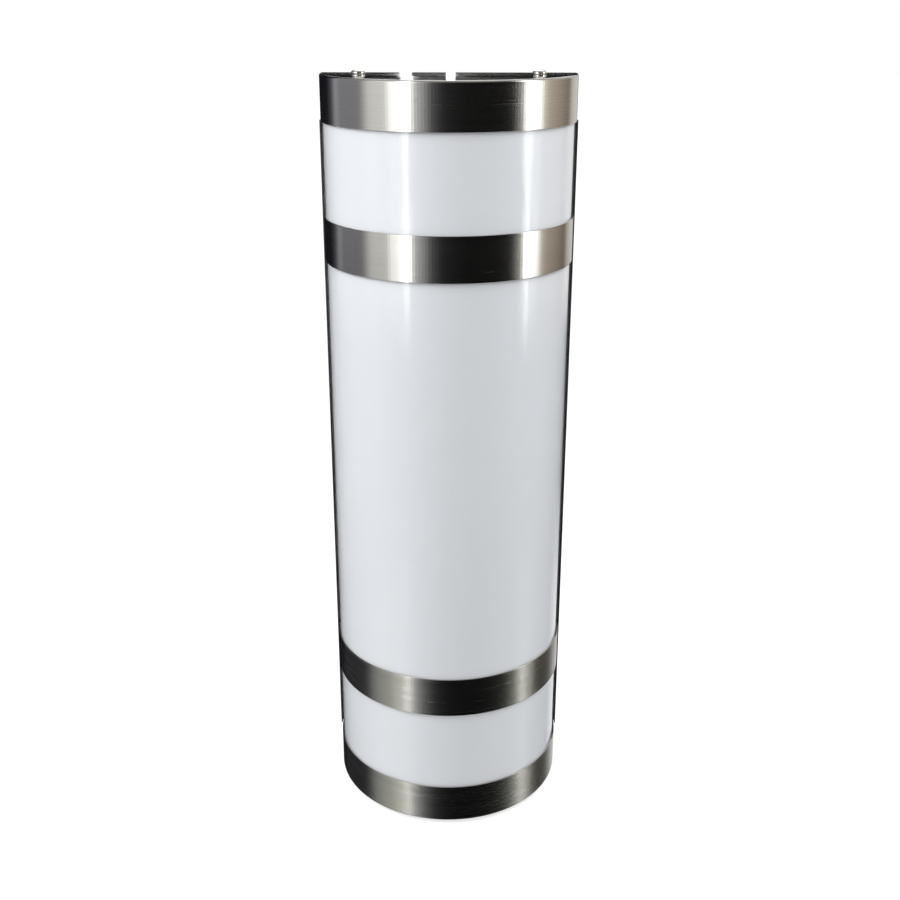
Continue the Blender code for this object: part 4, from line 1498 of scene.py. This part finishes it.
@dataclass
class Nuts:
    """The hexagon nuts on the studs, and the clinched nuts under the flanges."""

    palette: Palette
    corner: float = 0.00404145
    face_radius: float = 0.0034
    height: float = 0.003
    chamfer: float = 0.0004
    edge: float = 0.00006
    bore: float = 0.00208
    spare: float = 0.0015
    clinch_radius: float = 0.0036
    clinch_bore: float = 0.00205
    clinch_lip: float = 0.0004

    def make_hexagon(self) -> bpy.types.Object:
        """Makes one nut that rises from z = 0: a hexagon with turned chamfers and its bore.

        Returns:
            The nut.
        """
        nut = add_cylinder("stud_nut", self.corner, 0.0, self.height, 6)
        outside, shoulder = self.corner * 1.002, self.height - self.chamfer
        lens = [(0.0, 0.0), (self.face_radius, 0.0), (outside, self.chamfer),
                (outside, shoulder), (self.face_radius, self.height), (0.0, self.height)]
        turned = add_turned("nut_lens", lens, 48)
        modify(nut, "BOOLEAN", operation="INTERSECT", solver="EXACT", object=turned)
        bpy.data.objects.remove(turned, do_unlink=True)
        flare = self.bore + 2 * self.chamfer
        low, high = -self.chamfer, self.height + self.chamfer
        bore = [(0.0, low), (flare, low), (self.bore, self.chamfer), (self.bore, shoulder),
                (flare, high), (0.0, high)]
        cut_away(nut, add_turned("nut_bore", bore, 32))
        soften(nut, self.edge, 2, 20.0)
        return nut

    def build(self) -> None:
        """Sets a nut on every stud and a clinched nut under every cover screw."""
        pattern = self.make_hexagon()
        forward = Matrix.Rotation(math.pi / 2, 4, "X") @ Matrix.Rotation(math.pi / 2, 4, "Z")
        for name, (x, z, reach) in STUDS.places().items():
            turn = Matrix.Translation((x, -(reach - self.spare - self.height), z)) @ forward
            nut = copy_piece(pattern, f"{name}_hexagon", turn)
            self.palette.dress(nut, "pan", "zinc_plate", name)
        bpy.data.objects.remove(pattern, do_unlink=True)
        self.make_clinched()

    def make_clinched(self) -> None:
        """Makes the round nuts pressed into the flanges."""
        bore, wall, lip = self.clinch_bore, self.clinch_radius, self.clinch_lip
        for level in Level:
            for hand in Hand:
                node = f"cover_nut_{level.word}_{hand.word}"
                first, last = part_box(node)
                middle = ((first[0] + last[0]) / 2, (first[1] + last[1]) / 2, 0.0)
                low, high = first[2], last[2]
                profile = [(bore, low + lip), (bore + lip, low), (wall - lip, low),
                           (wall, low + lip), (wall, high - lip), (wall - lip, high),
                           (bore + lip, high), (bore, high - lip), (bore, low + lip)]
                nut = add_turned(f"{node}_turned", profile, 40, middle)
                smooth(nut, 30.0)
                self.palette.dress(nut, "pan", "zinc_plate", node)


# ---------------------------------------------------------------- electrical pieces


@dataclass
class Ballast:
    """The ballast: a pressed can on a base with round-cornered ears."""

    palette: Palette
    half_width: float = 0.015
    can_rear: float = 0.0022
    can_front: float = 0.0222
    top: float = -0.012
    bottom: float = -0.192
    can_round: float = 0.0012
    can_edge: float = 0.00015
    panel_margin: float = 0.0035
    panel_depth: float = 0.0005
    base_rear: float = 0.0011
    base_edge: float = 0.0001
    ear: float = 0.010
    ear_corner: float = 0.005
    bore: float = 0.0023

    def make_can(self) -> None:
        """The can, with a sunk panel in each of its larger faces and its ends."""
        half, deep = self.half_width, self.panel_depth
        can = add_box("ballast_shell", (-half, -self.can_front, self.bottom),
                      (half, -self.can_rear, self.top))
        round_edges(can, self.can_round, 3, lambda edge: True)
        sunk = ((1, -self.can_front), (0, -half), (0, half), (2, self.top), (2, self.bottom))
        for axis, level in sunk:
            with editing(can, Pick.FACES):
                select_where(can, Pick.FACES, lambda face: all_near(face, axis, level))
                bpy.ops.mesh.inset(thickness=self.panel_margin, depth=0.0)
                bpy.ops.mesh.inset(thickness=deep, depth=-deep)
        soften(can, self.can_edge, 2, 25.0)
        self.palette.dress(can, "pan", "white_paint", "ballast_can")

    def make_base(self) -> None:
        """The base sheet, bored at its ears."""
        half, low, high = self.half_width, self.bottom - self.ear, self.top + self.ear
        base = add_box("ballast_plate", (-half, -PLATE_FRONT, low), (half, -self.base_rear, high))

        def on_corner(edge: bmesh.types.BMEdge) -> bool:
            """Says whether an edge runs through the sheet."""
            return abs(edge.verts[0].co.y - edge.verts[1].co.y) > NEAR

        round_edges(base, self.ear_corner, 6, on_corner)
        for z in (low + self.ear / 2, high - self.ear / 2):
            cut_away(base, add_peg("ear_bore", self.bore, (0.0, z), 0.0, 2 * PLATE_FRONT, 32))
        soften(base, self.base_edge, 2)
        self.palette.dress(base, "pan", "zinc_plate", "ballast_base")

    def build(self) -> None:
        """Makes the ballast."""
        self.make_can()
        self.make_base()


@dataclass
class Terminals:
    """The terminal block with its clamp screws, the earth lug and the wire hole's grommet."""

    palette: Palette
    half_width: float = 0.009
    half_length: float = 0.017
    rear: float = 0.0011
    depth: float = 0.014
    body_round: float = 0.0009
    body_edge: float = 0.00015
    bore: float = 0.0023
    way: float = 0.0035
    ways: int = 4
    way_floor: float = 0.0095
    rib: float = 0.0009
    entry_side: float = 0.004
    entry_radius: float = 0.0014
    entry_depth: float = 0.002
    clamp_radius: float = 0.0015
    clamp_height: float = 0.0018
    clamp_slot: tuple[float, float] = (0.0002, 0.0006)
    clamp_turns: tuple[int, int] = (20, 47)
    metal_edge: float = 0.00012
    lug_radius: float = 0.004
    lug_tail: float = 0.014
    tail_half: float = 0.0015
    tail_start: float = 0.003
    bush_height: float = 0.024
    bush_profile: Profile = (
        (0.0085, 0.0003), (0.0107, 0.0003), (0.0107, 0.0011), (0.0135, 0.0011), (0.0135, 0.0019),
        (0.0132, 0.0023), (0.0126, 0.0026), (0.0092, 0.0026), (0.0086, 0.0024), (0.0081, 0.0019),
        (0.0080, 0.0014), (0.0080, 0.0008), (0.0082, 0.0004), (0.0085, 0.0003))

    def way_heights(self) -> list[float]:
        """The level of each way."""
        pitch, middle = 2 * self.half_length / self.ways, (self.ways - 1) / 2
        return [STUDS.block[1] + (step - middle) * pitch for step in range(self.ways)]

    def make_block(self) -> None:
        """The moulded body: wells for the clamp screws, grooves and the leads' entries."""
        side, height, front = STUDS.block
        wide, tall, rib = self.half_width, self.half_length, self.rib
        body = add_box("terminal_body", (side - wide, -front, height - tall),
                       (side + wide, -self.rear, height + tall))
        soften(body, self.body_round, 3)
        cut_away(body, add_peg("block_bore", self.bore, (side, height), 0.0, 2 * front, 40))
        well = side + wide - self.way
        for level in self.way_heights():
            cut_away(body, add_peg(
                "well", self.way / 2, (well, level), self.way_floor, 2 * front, 32))
        for level in self.way_heights()[1:]:
            low = level - tall / self.ways - rib / 2
            cut_away(body, add_box("groove", (well - self.way / 2 - rib, -2 * front, low),
                                   (side + 2 * wide, -front + rib, low + rib)))
        foot, middle = height - tall, -self.rear - self.depth / 2
        for offset in (-self.entry_side, self.entry_side):
            cut_away(body, add_cylinder(
                "entry", self.entry_radius, foot - rib, foot + self.entry_depth, 24,
                centre=(side + offset, middle)))
        soften(body, self.body_edge, 2)
        self.palette.dress(body, "pan", "moulded_white", "terminal_block")
        self.make_clamps(well)

    def make_clamps(self, well: float) -> None:
        """The slotted clamp screws in the wells.

        Args:
            well: The x of the wells.
        """
        low, top = self.way_floor - self.rib, self.way_floor + self.clamp_height
        screw = add_cylinder("clamp_screws", self.clamp_radius, low, top, 32)
        half, deep = self.clamp_slot
        cut_away(screw, add_box("driver_slot", (-self.way, -half, top - deep),
                                (self.way, half, top + self.rib)))
        soften(screw, self.metal_edge, 2)
        forward = Matrix.Rotation(math.pi / 2, 4, "X")
        start, turn = self.clamp_turns
        copies = []
        for step, level in enumerate(self.way_heights()):
            driven = Matrix.Rotation(math.radians(start + turn * step), 4, "Y")
            place = Matrix.Translation((well, 0.0, level)) @ driven @ forward
            copies.append(copy_piece(screw, "clamp_copy", place))
        bpy.data.objects.remove(screw, do_unlink=True)
        merge_in(copies[0], copies[1:])
        copies[0].name = "clamp_screws"
        self.palette.dress(copies[0], "pan", "zinc_plate")

    def make_lug(self) -> None:
        """The ring terminal with its tail."""
        x, z, front = STUDS.lug
        lug = add_peg("earth_ring", self.lug_radius, (x, z), self.rear, front, 48)
        weld(lug, add_box("tail", (x - self.tail_half, -front, z - self.lug_tail),
                          (x + self.tail_half, -self.rear, z - self.tail_start)))
        cut_away(lug, add_peg("lug_bore", self.bore, (x, z), 0.0, 2 * front, 32))
        soften(lug, self.metal_edge, 2)
        self.palette.dress(lug, "pan", "zinc_plate", "earth_lug")

    def make_grommet(self) -> None:
        """The rubber bush, with a rounded flange and a waist in the hole."""
        bush = add_turned("grommet_bush", self.bush_profile, 64)
        aim_front(bush, (0.0, 0.0, self.bush_height))
        smooth(bush, 50.0)
        self.palette.dress(bush, "pan", "black_rubber", "wire_grommet")

    def build(self) -> None:
        """Makes the terminals and the grommet."""
        self.make_block()
        self.make_lug()
        self.make_grommet()


@dataclass
class Holders:
    """The four lampholders and the rotors that turn in them."""

    palette: Palette
    face: float = 0.2192
    end: float = 0.2312
    half_width: float = 0.012
    back: float = 0.014
    edge: float = 0.0002
    boss_half: float = 0.0035
    boss_root: float = 0.003
    boss_end: float = 0.2355
    pocket: float = 0.0083
    pocket_end: float = 0.2292
    slot_half: float = 0.001475
    slot_end: float = 0.2263
    rotor: float = 0.008
    rotor_face: float = 0.2195
    rotor_end: float = 0.2289
    rotor_edge: float = 0.0003
    ribs: int = 4
    rib_start: float = 0.004
    rib_margin: float = 0.002
    rib_width: float = 0.0008
    rib_depth: float = 0.0006

    def make_holder(self) -> bpy.types.Object:
        """Makes the upper right holder: round-fronted, with pocket, mouth, boss and grip ribs.

        Returns:
            The holder.
        """
        x, y = LAMP_SIDE, -LAMP_DEPTH
        wide, boss = self.half_width, self.boss_half
        body = add_cylinder("holder_upper_right", wide, self.face, self.end, 64, centre=(x, y))
        weld(body, add_box("rear", (x - wide, y, self.face), (x + wide, y + self.back, self.end)))
        weld(body, add_box("boss", (x - boss, y - boss, self.end - self.boss_root),
                           (x + boss, y + boss, self.boss_end)))
        low = self.face - self.rib_width
        cut_away(body, add_cylinder("pocket", self.pocket, low, self.pocket_end, 64, centre=(x, y)))
        cut_away(body, add_box("mouth", (x - self.slot_half, y - 2 * wide, low),
                               (x + self.slot_half, y, self.slot_end)))
        bottom, top = self.face + self.rib_margin, self.end - self.rib_margin
        for step in range(self.ribs):
            rear = y + self.rib_start + 2 * step * self.rib_width
            for side in (-1, 1):
                inner, outer = sorted((x + side * (wide - self.rib_depth), x + side * 2 * wide))
                cut_away(body, add_box("rib", (inner, rear, bottom),
                                       (outer, rear + self.rib_width, top)))
        soften(body, self.edge, 2)
        return body

    def make_rotor(self) -> bpy.types.Object:
        """Makes the upper right rotor: a disc with the slot that grips the pins.

        Returns:
            The rotor.
        """
        x, y = LAMP_SIDE, -LAMP_DEPTH
        core = add_cylinder(
            "rotor_upper_right", self.rotor, self.rotor_face, self.rotor_end, 64, centre=(x, y))
        cut_away(core, add_box("grip", (x - 2 * self.rotor, y - self.slot_half, self.face),
                               (x + 2 * self.rotor, y + self.slot_half, self.slot_end)))
        soften(core, self.rotor_edge, 3)
        return core

    def build(self) -> None:
        """Makes one of each and sets the copies."""
        for kind, first, node in (("holder", self.make_holder(), "lampholder"),
                                  ("rotor", self.make_rotor(), "lampholder_rotor")):
            for (level, hand), piece in quartered(first, kind):
                body = f"lamp_{hand.word}" if kind == "rotor" else "pan"
                stood_for = f"{node}_{level.word}_{hand.word}"
                self.palette.dress(piece, body, "moulded_white", stood_for)


@dataclass
class Lamps:
    """The two straight lamps: coated glass, metal end caps, insulators and pins."""

    palette: Palette
    radius: float = 0.0127
    wall: float = 0.001
    glass_half: float = 0.2174
    shoulder: float = 0.0012
    shoulder_steps: int = 6
    cap_radius: float = 0.0134
    cap_inner: float = 0.013
    cap_depth: float = 0.001
    skirt: float = 0.2107
    bead: float = 0.2128
    bead_half: float = 0.0005
    bead_depth: float = 0.0002
    pin_radius: float = 0.001175
    pin_root: float = 0.0005
    pin_end: float = 0.2258
    pin_side: float = 0.00635
    disc_radius: float = 0.0098
    disc_rise: float = 0.0003
    disc_edge: float = 0.00012

    def make_tubes(self) -> None:
        """The glass, with rounded shoulders where it enters its caps."""
        half, turn, steps = self.glass_half, self.shoulder, self.shoulder_steps
        points = []
        for step in range(steps + 1):
            angle = math.radians(90 * step / steps)
            points.append((self.radius - turn * (1 - math.sin(angle)),
                           -half + turn * (1 - math.cos(angle))))
        profile = [(0.0, -half), *points, *[(r, -z) for r, z in points[::-1]], (0.0, half)]
        right = add_turned("glass_right", profile, 96, (LAMP_SIDE, -LAMP_DEPTH, 0.0))
        modify(right, "SOLIDIFY", thickness=self.wall, offset=-1.0)
        smooth(right, 50.0)
        left = copy_piece(right, "glass_left", Matrix.Translation((-2 * LAMP_SIDE, 0, 0)))
        for hand, glass in ((Hand.RIGHT, right), (Hand.LEFT, left)):
            self.palette.dress(glass, f"lamp_{hand.word}", "lamp_glass", f"lamp_tube_{hand.word}")

    def make_cap(self) -> bpy.types.Object:
        """Makes the upper right cap, with a rolled bead, a round shoulder and its two pins.

        Returns:
            The cap, with its pins.
        """
        wall, inner, face = self.cap_radius, self.cap_inner, LAMP_HALF
        profile = [
            (0.0, face - self.cap_depth), (inner, face - self.cap_depth),
            (inner, self.skirt), (wall, self.skirt),
            (wall, self.bead - self.bead_half), (wall - self.bead_depth, self.bead),
            (wall, self.bead + self.bead_half),
            (wall, face - 0.0011), (wall - 0.0003, face - 0.0004), (wall - 0.0010, face),
            (0.0, face)]
        cap = add_turned("cap_upper_right", profile, 64, (LAMP_SIDE, -LAMP_DEPTH, 0.0))
        smooth(cap, 30.0)
        r, root, end = self.pin_radius, face - self.pin_root, self.pin_end
        shape = [(0.0, root), (r, root), (r, end - 0.0008), (r * 0.85, end - 0.0003),
                 (r * 0.45, end), (0.0, end)]
        pins = []
        for side in (-self.pin_side, self.pin_side):
            place = (LAMP_SIDE + side, -LAMP_DEPTH, 0.0)
            pins.append(add_turned(f"pin_{len(pins)}", shape, 24, place))
            smooth(pins[-1], 60.0)
        merge_in(cap, pins)
        return cap

    def make_disc(self) -> bpy.types.Object:
        """Makes the upper right insulator, between the pins and the metal.

        Returns:
            The insulator.
        """
        low, high = LAMP_HALF - self.disc_rise, LAMP_HALF + self.disc_rise
        place = (LAMP_SIDE, -LAMP_DEPTH)
        disc = add_cylinder("insulator_upper_right", self.disc_radius, low, high, 64, centre=place)
        soften(disc, self.disc_edge, 2)
        return disc

    def build(self) -> None:
        """Makes both lamps."""
        self.make_tubes()
        for (level, hand), cap in quartered(self.make_cap(), "cap"):
            node = f"lamp_ferrule_{level.word}_{hand.word}"
            self.palette.dress(cap, f"lamp_{hand.word}", "ferrule_metal", node)
        for (_, hand), disc in quartered(self.make_disc(), "insulator"):
            self.palette.dress(disc, f"lamp_{hand.word}", "moulded_white")


@dataclass
class Leads:
    """The insulated leads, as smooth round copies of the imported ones."""

    palette: Palette
    levels: int = 2
    swell: float = 0.00007

    def build(self) -> None:
        """Rounds each lead and dresses it."""
        for entry in frame["record"]["subparts"]:
            node, slot = entry["node"], entry["material_slot"]
            if not slot.endswith("_lead"):
                continue
            pick_only(frame["nodes"][node])
            bpy.ops.object.duplicate(linked=False)
            lead = name_new(f"{node}_round")
            with editing(lead, Pick.VERTS):
                bpy.ops.mesh.select_all(action="SELECT")
                bpy.ops.mesh.remove_doubles(threshold=DOUBLED)
                bpy.ops.mesh.tris_convert_to_quads()
                bpy.ops.transform.shrink_fatten(value=self.swell)
            modify(lead, "SUBSURF", levels=self.levels, render_levels=self.levels)
            smooth(lead, 80.0)
            self.palette.dress(lead, "pan", slot, node)


# ---------------------------------------------------------------- studio


# What the metal mirrors all round: each stop is a place in degrees from the front, to the right
# above zero, and the tone of the card that stands there.
CARD_TONES: Stops = (
    (-180, (0.010, 0.010, 0.012)), (-134, (0.012, 0.012, 0.018)), (-124, (0.10, 0.10, 0.11)),
    (-116, (0.56, 0.58, 0.64)), (-111, (0.33, 0.34, 0.38)), (-83, (0.38, 0.38, 0.41)),
    (-73, (1.20, 1.22, 1.21)), (-56, (1.22, 1.27, 1.25)), (-52, (2.4, 2.45, 2.45)),
    (-43, (2.6, 2.6, 2.6)), (-40, (7.5, 7.5, 7.5)), (-36, (7.5, 7.5, 7.5)),
    (-34, (2.2, 2.25, 2.25)), (-30, (0.90, 0.93, 0.95)), (-22, (0.57, 0.59, 0.61)),
    (-15, (0.13, 0.13, 0.14)), (-5, (0.025, 0.025, 0.026)), (5, (0.010, 0.010, 0.011)),
    (15, (0.002, 0.002, 0.002)), (58, (0.002, 0.002, 0.002)), (68, (0.45, 0.46, 0.45)),
    (71, (2.6, 2.65, 2.6)), (73.5, (8.0, 8.0, 8.0)), (77.5, (8.0, 8.0, 8.0)),
    (79.5, (3.0, 3.0, 3.0)), (86, (3.0, 3.05, 3.0)), (91, (1.05, 1.04, 0.92)),
    (99, (0.76, 0.66, 0.55)), (130, (0.26, 0.21, 0.17)), (139, (0.74, 0.72, 0.66)),
    (160, (0.75, 0.73, 0.71)), (166, (0.02, 0.02, 0.02)),
)
LOW_CARD_TONES: Stops = (
    (-180, (0.010, 0.010, 0.012)), (-100, (0.008, 0.009, 0.012)), (-92, (0.05, 0.05, 0.05)),
    (-85, (0.26, 0.27, 0.27)), (-74, (0.46, 0.48, 0.47)), (-60, (0.57, 0.59, 0.53)),
    (-42, (0.86, 0.90, 0.86)), (-36, (0.40, 0.41, 0.42)), (-26, (0.085, 0.09, 0.095)),
    (-14, (0.015, 0.015, 0.016)), (4, (0.004, 0.004, 0.005)), (54, (0.003, 0.003, 0.003)),
    (63, (0.015, 0.015, 0.014)), (71, (0.12, 0.13, 0.12)), (80, (0.62, 0.66, 0.59)),
    (90, (0.60, 0.63, 0.57)), (98, (0.15, 0.16, 0.14)), (108, (0.03, 0.03, 0.027)),
    (132, (0.08, 0.08, 0.075)), (139, (0.56, 0.57, 0.57)), (160, (1.10, 1.12, 1.15)),
    (172, (0.50, 0.50, 0.50)), (180, (0.010, 0.010, 0.012)),
)


@dataclass(frozen=True)
class SoftBox:
    """A soft box: its place, its level size, its other size and its power in watts."""

    name: str
    place: Point
    width: float
    height: float
    power: float


SOFT_BOXES = (
    SoftBox("key_left", (-1.7, -0.4, 1.5), 0.9, 1.6, 40.0),
    SoftBox("fill_right", (1.5, 0.0, 1.4), 0.7, 1.6, 24.0),
    SoftBox("over_head", (0.0, -1.0, 1.8), 1.6, 1.2, 15.0),
    SoftBox("front", (0.0, -2.0, 1.4), 1.2, 1.2, 11.0),
)


@dataclass
class Studio:
    """The floor, the white room, the cards that the metal mirrors, the lamps and the camera."""

    ambient: float = 0.25
    floor_level: float = -0.2568
    floor_half: float = 9.0
    floor_grey: float = 0.45
    floor_fade: tuple[float, float] = (0.9, 3.2)
    floor_lift: float = 0.68
    cards_radius: float = 3.0
    cards_low: float = -5.0
    cards_high: float = 5.0
    low_cards_end: tuple[float, float] = (-30.0, -22.0)
    cards_start: tuple[float, float] = (-14.0, -10.5)
    gap: Colour = (0.004, 0.004, 0.005)
    strips: tuple[tuple[float, float], ...] = ((-0.136, 0.034), (-0.002, 0.026))
    strip_back: float = 2.9
    strip_depth: float = 0.01
    strip_top: float = 0.9
    strip_level: float = 2.2
    lamp_aim: Point = (0.0, -0.04, 0.0)
    sensor: float = 36.0
    lens: float = 46.851
    camera_place: Point = (0.00206, -0.77621, 0.29519)
    camera_down: float = 20.913
    camera_roll: float = 0.081
    camera_yaw: float = -0.075

    def start_bare(self, name: str) -> tuple[bpy.types.Material, Wiring]:
        """Starts a material that has no shader yet.

        Args:
            name: The material's name.

        Returns:
            The material and its wiring.
        """
        made = bpy.data.materials.new(name)
        made.use_nodes = True
        nodes = made.node_tree.nodes
        nodes.remove(nodes["Principled BSDF"])
        return made, Wiring(made.node_tree)

    def seen(self, wiring: Wiring) -> bpy.types.NodeSocket:
        """Says whether a ray shows the background: from the camera, a mirror or clear stuff.

        Args:
            wiring: The wiring that asks.

        Returns:
            One for such a ray and zero for the others.
        """
        path = wiring.add("ShaderNodeLightPath").outputs
        shown = wiring.maths("MAXIMUM", path["Is Camera Ray"], path["Is Glossy Ray"])
        return wiring.maths("MAXIMUM", shown, path["Is Transmission Ray"])

    def make_world(self) -> None:
        """White where it is seen, and an even soft level where it lights."""
        world = bpy.data.worlds.new("white_room")
        world.use_nodes = True
        bpy.context.scene.world = world
        wiring = Wiring(world.node_tree)
        background = world.node_tree.nodes["Background"]
        background.inputs["Color"].default_value = (1.0, 1.0, 1.0, 1.0)
        level = wiring.spread(self.seen(wiring), 0.0, 1.0, self.ambient, 1.0)
        wiring.link(level, background.inputs["Strength"])

    def make_floor(self) -> None:
        """A white floor that keeps the light's shadow and is clear from below."""
        deselect_all()
        place = (0, 0, self.floor_level)
        bpy.ops.mesh.primitive_plane_add(size=2 * self.floor_half, location=place)
        floor = name_new("studio_floor")
        made, wiring = self.start_bare("floor_white")
        grey = (self.floor_grey, self.floor_grey, self.floor_grey, 1.0)
        matte = wiring.add("ShaderNodeBsdfDiffuse", {"Color": grey})
        here = wiring.add("ShaderNodeTexCoord").outputs["Object"]
        reach = wiring.add("ShaderNodeVectorMath", {0: here}, operation="LENGTH").outputs["Value"]
        level = wiring.spread(reach, *self.floor_fade, self.floor_lift, 1.0)
        strength = wiring.maths("MULTIPLY", self.seen(wiring), level)
        lift = wiring.add("ShaderNodeEmission", {"Strength": strength})
        both = wiring.add("ShaderNodeAddShader", {0: matte.outputs[0], 1: lift.outputs[0]})
        under = wiring.add("ShaderNodeNewGeometry").outputs["Backfacing"]
        clear = wiring.add("ShaderNodeBsdfTransparent")
        sides = {0: under, 1: both.outputs[0], 2: clear.outputs[0]}
        wiring.show(wiring.add("ShaderNodeMixShader", sides))
        floor.data.materials.append(made)
        floor.visible_glossy = False

    def make_cards(self) -> None:
        """The round of soft boxes, flags and dark room that only mirrors see."""
        low, high = self.cards_low, self.cards_high
        cards = add_cylinder("studio_cards", self.cards_radius, low, high, 128)
        turn_over(cards)
        made, wiring = self.start_bare("card_tones")
        here = wiring.add("ShaderNodeTexCoord").outputs["Object"]
        parts = wiring.add("ShaderNodeSeparateXYZ", {0: here}).outputs
        forward = wiring.maths("MULTIPLY", parts[1], -1.0)
        around = wiring.maths("ARCTAN2", parts[0], forward)
        rise = wiring.maths("ARCTAN2", parts[2], self.cards_radius)
        slope = wiring.maths("MULTIPLY", rise, 180 / math.pi)
        tone = self.paint_cards(wiring, around, slope)
        wiring.show(wiring.add("ShaderNodeEmission", {"Color": tone, "Strength": 1.0}))
        cards.data.materials.append(made)
        self.show_in_mirrors_only(cards)

    def paint_cards(
        self, wiring: Wiring, around: bpy.types.NodeSocket,
        slope: bpy.types.NodeSocket) -> bpy.types.NodeSocket:
        """Paints the cards: low ones, a dark gap, the main ones, and grey zones laid over them.

        Args:
            wiring: The wiring of their material.
            around: The angle round from the front in radians, to the right above zero.
            slope: The angle up from level, in degrees.

        Returns:
            Their colour.
        """
        share = wiring.spread(around, -math.pi, math.pi)
        main = self.add_ramp(wiring, share, CARD_TONES)
        low = self.add_ramp(wiring, share, LOW_CARD_TONES)
        below = wiring.mixed(wiring.spread(slope, *self.low_cards_end), low, (*self.gap, 1.0))
        tone = wiring.mixed(wiring.spread(slope, *self.cards_start), below, main)
        turned = wiring.maths("ABSOLUTE", around)
        rear = wiring.spread(turned, math.radians(166), math.radians(170))
        rearmost = wiring.spread(turned, math.radians(173), math.radians(177))
        right_rear = wiring.spread(around, math.radians(110), math.radians(125))
        zones = (
            (wiring.maths("MAXIMUM", rear, right_rear), 16.0, 20.0, 0.8),
            (rearmost, -3.0, -6.0, 0.6),
            (rear, 17.0, 20.0, 1.8),
            (rear, 25.0, 29.0, 3.2),
            (1.0, 42.0, 48.0, 0.45),
        )
        for sector, start, full, grey in zones:
            mask = wiring.maths("MULTIPLY", sector, wiring.spread(slope, start, full))
            tone = wiring.mixed(mask, tone, (grey, grey, grey, 1.0))
        return tone

    def add_ramp(
        self, wiring: Wiring, share: bpy.types.NodeSocket, stops: Stops) -> bpy.types.NodeSocket:
        """Adds a colour ramp that runs from -180 to 180 degrees.

        Args:
            wiring: The wiring that it joins.
            share: How far along the ramp to read.
            stops: Each stop's place in degrees, and its colour.

        Returns:
            Its colour.
        """
        node = wiring.add("ShaderNodeValToRGB", {0: share})
        elements = node.color_ramp.elements
        while len(elements) > 1:
            elements.remove(elements[-1])
        for index, (place, colour) in enumerate(stops):
            position = (place + 180.0) / 360.0
            stop = elements[0] if index == 0 else elements.new(position)
            stop.position = position
            stop.color = (*colour, 1.0)
        return node.outputs[0]

    def make_strips(self) -> None:
        """Two narrow bright strips far behind, which the polished top plate mirrors."""
        made, wiring = self.start_bare("strip_white")
        wiring.show(wiring.add("ShaderNodeEmission", {"Strength": self.strip_level}))
        rear = self.strip_back + self.strip_depth
        for number, (side, width) in enumerate(self.strips, 1):
            strip = add_box(f"studio_strip_{number}", (side - width / 2, self.strip_back, 0.0),
                            (side + width / 2, rear, self.strip_top))
            strip.data.materials.append(made)
            self.show_in_mirrors_only(strip)

    def show_in_mirrors_only(self, card: bpy.types.Object) -> None:
        """Hides a card from everything but glossy rays.

        Args:
            card: The card.
        """
        card.visible_camera = False
        card.visible_diffuse = False
        card.visible_shadow = False
        card.visible_transmission = False
        card.visible_volume_scatter = False

    def add_soft_box(self, box: SoftBox) -> None:
        """Adds a soft box that points at the light's middle and shows in no mirror.

        Args:
            box: The soft box.
        """
        lamp = bpy.data.lights.new(box.name, "AREA")
        lamp.shape = "RECTANGLE"
        lamp.size, lamp.size_y = box.width, box.height
        lamp.energy = box.power
        held = bpy.data.objects.new(box.name, lamp)
        bpy.context.scene.collection.objects.link(held)
        held.location = box.place
        aim = Vector(self.lamp_aim) - Vector(box.place)
        held.rotation_euler = aim.to_track_quat("-Z", "Y").to_euler()
        held.visible_glossy = False
        held.visible_camera = False

    def make_camera(self) -> None:
        """The camera at the photograph's viewing angle."""
        data = bpy.data.cameras.new("camera")
        data.sensor_width = self.sensor
        data.lens = self.lens
        camera = bpy.data.objects.new("camera", data)
        bpy.context.scene.collection.objects.link(camera)
        yaw = Matrix.Rotation(-math.radians(self.camera_yaw), 4, "Z")
        down = Matrix.Rotation(math.radians(90 - self.camera_down), 4, "X")
        roll = Matrix.Rotation(math.radians(self.camera_roll), 4, "Z")
        camera.matrix_world = Matrix.Translation(self.camera_place) @ yaw @ down @ roll
        bpy.context.scene.camera = camera

    def build(self) -> None:
        """Sets up the studio."""
        self.make_world()
        self.make_floor()
        self.make_cards()
        self.make_strips()
        for box in SOFT_BOXES:
            self.add_soft_box(box)
        self.make_camera()
        bpy.context.scene.view_settings.view_transform = "Standard"


# ---------------------------------------------------------------- assembly


def write_sizes() -> None:
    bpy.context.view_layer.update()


def main() -> None:
    """Builds every sub-assembly in order, then the studio."""
    logging.basicConfig(level=logging.INFO, format="%(name)s: %(message)s")
    palette = Palette()
    light = (Cover, CoverScrews, BackPan, Wireway, Brackets, Nuts, Ballast, Terminals, Holders,
             Lamps, Leads)
    for part in (*(assembly(palette) for assembly in light), Studio()):
        part.build()
        log.info("%s built", type(part).__name__)
    deselect_all()
    write_sizes()


if __name__ == "__main__":
    main()
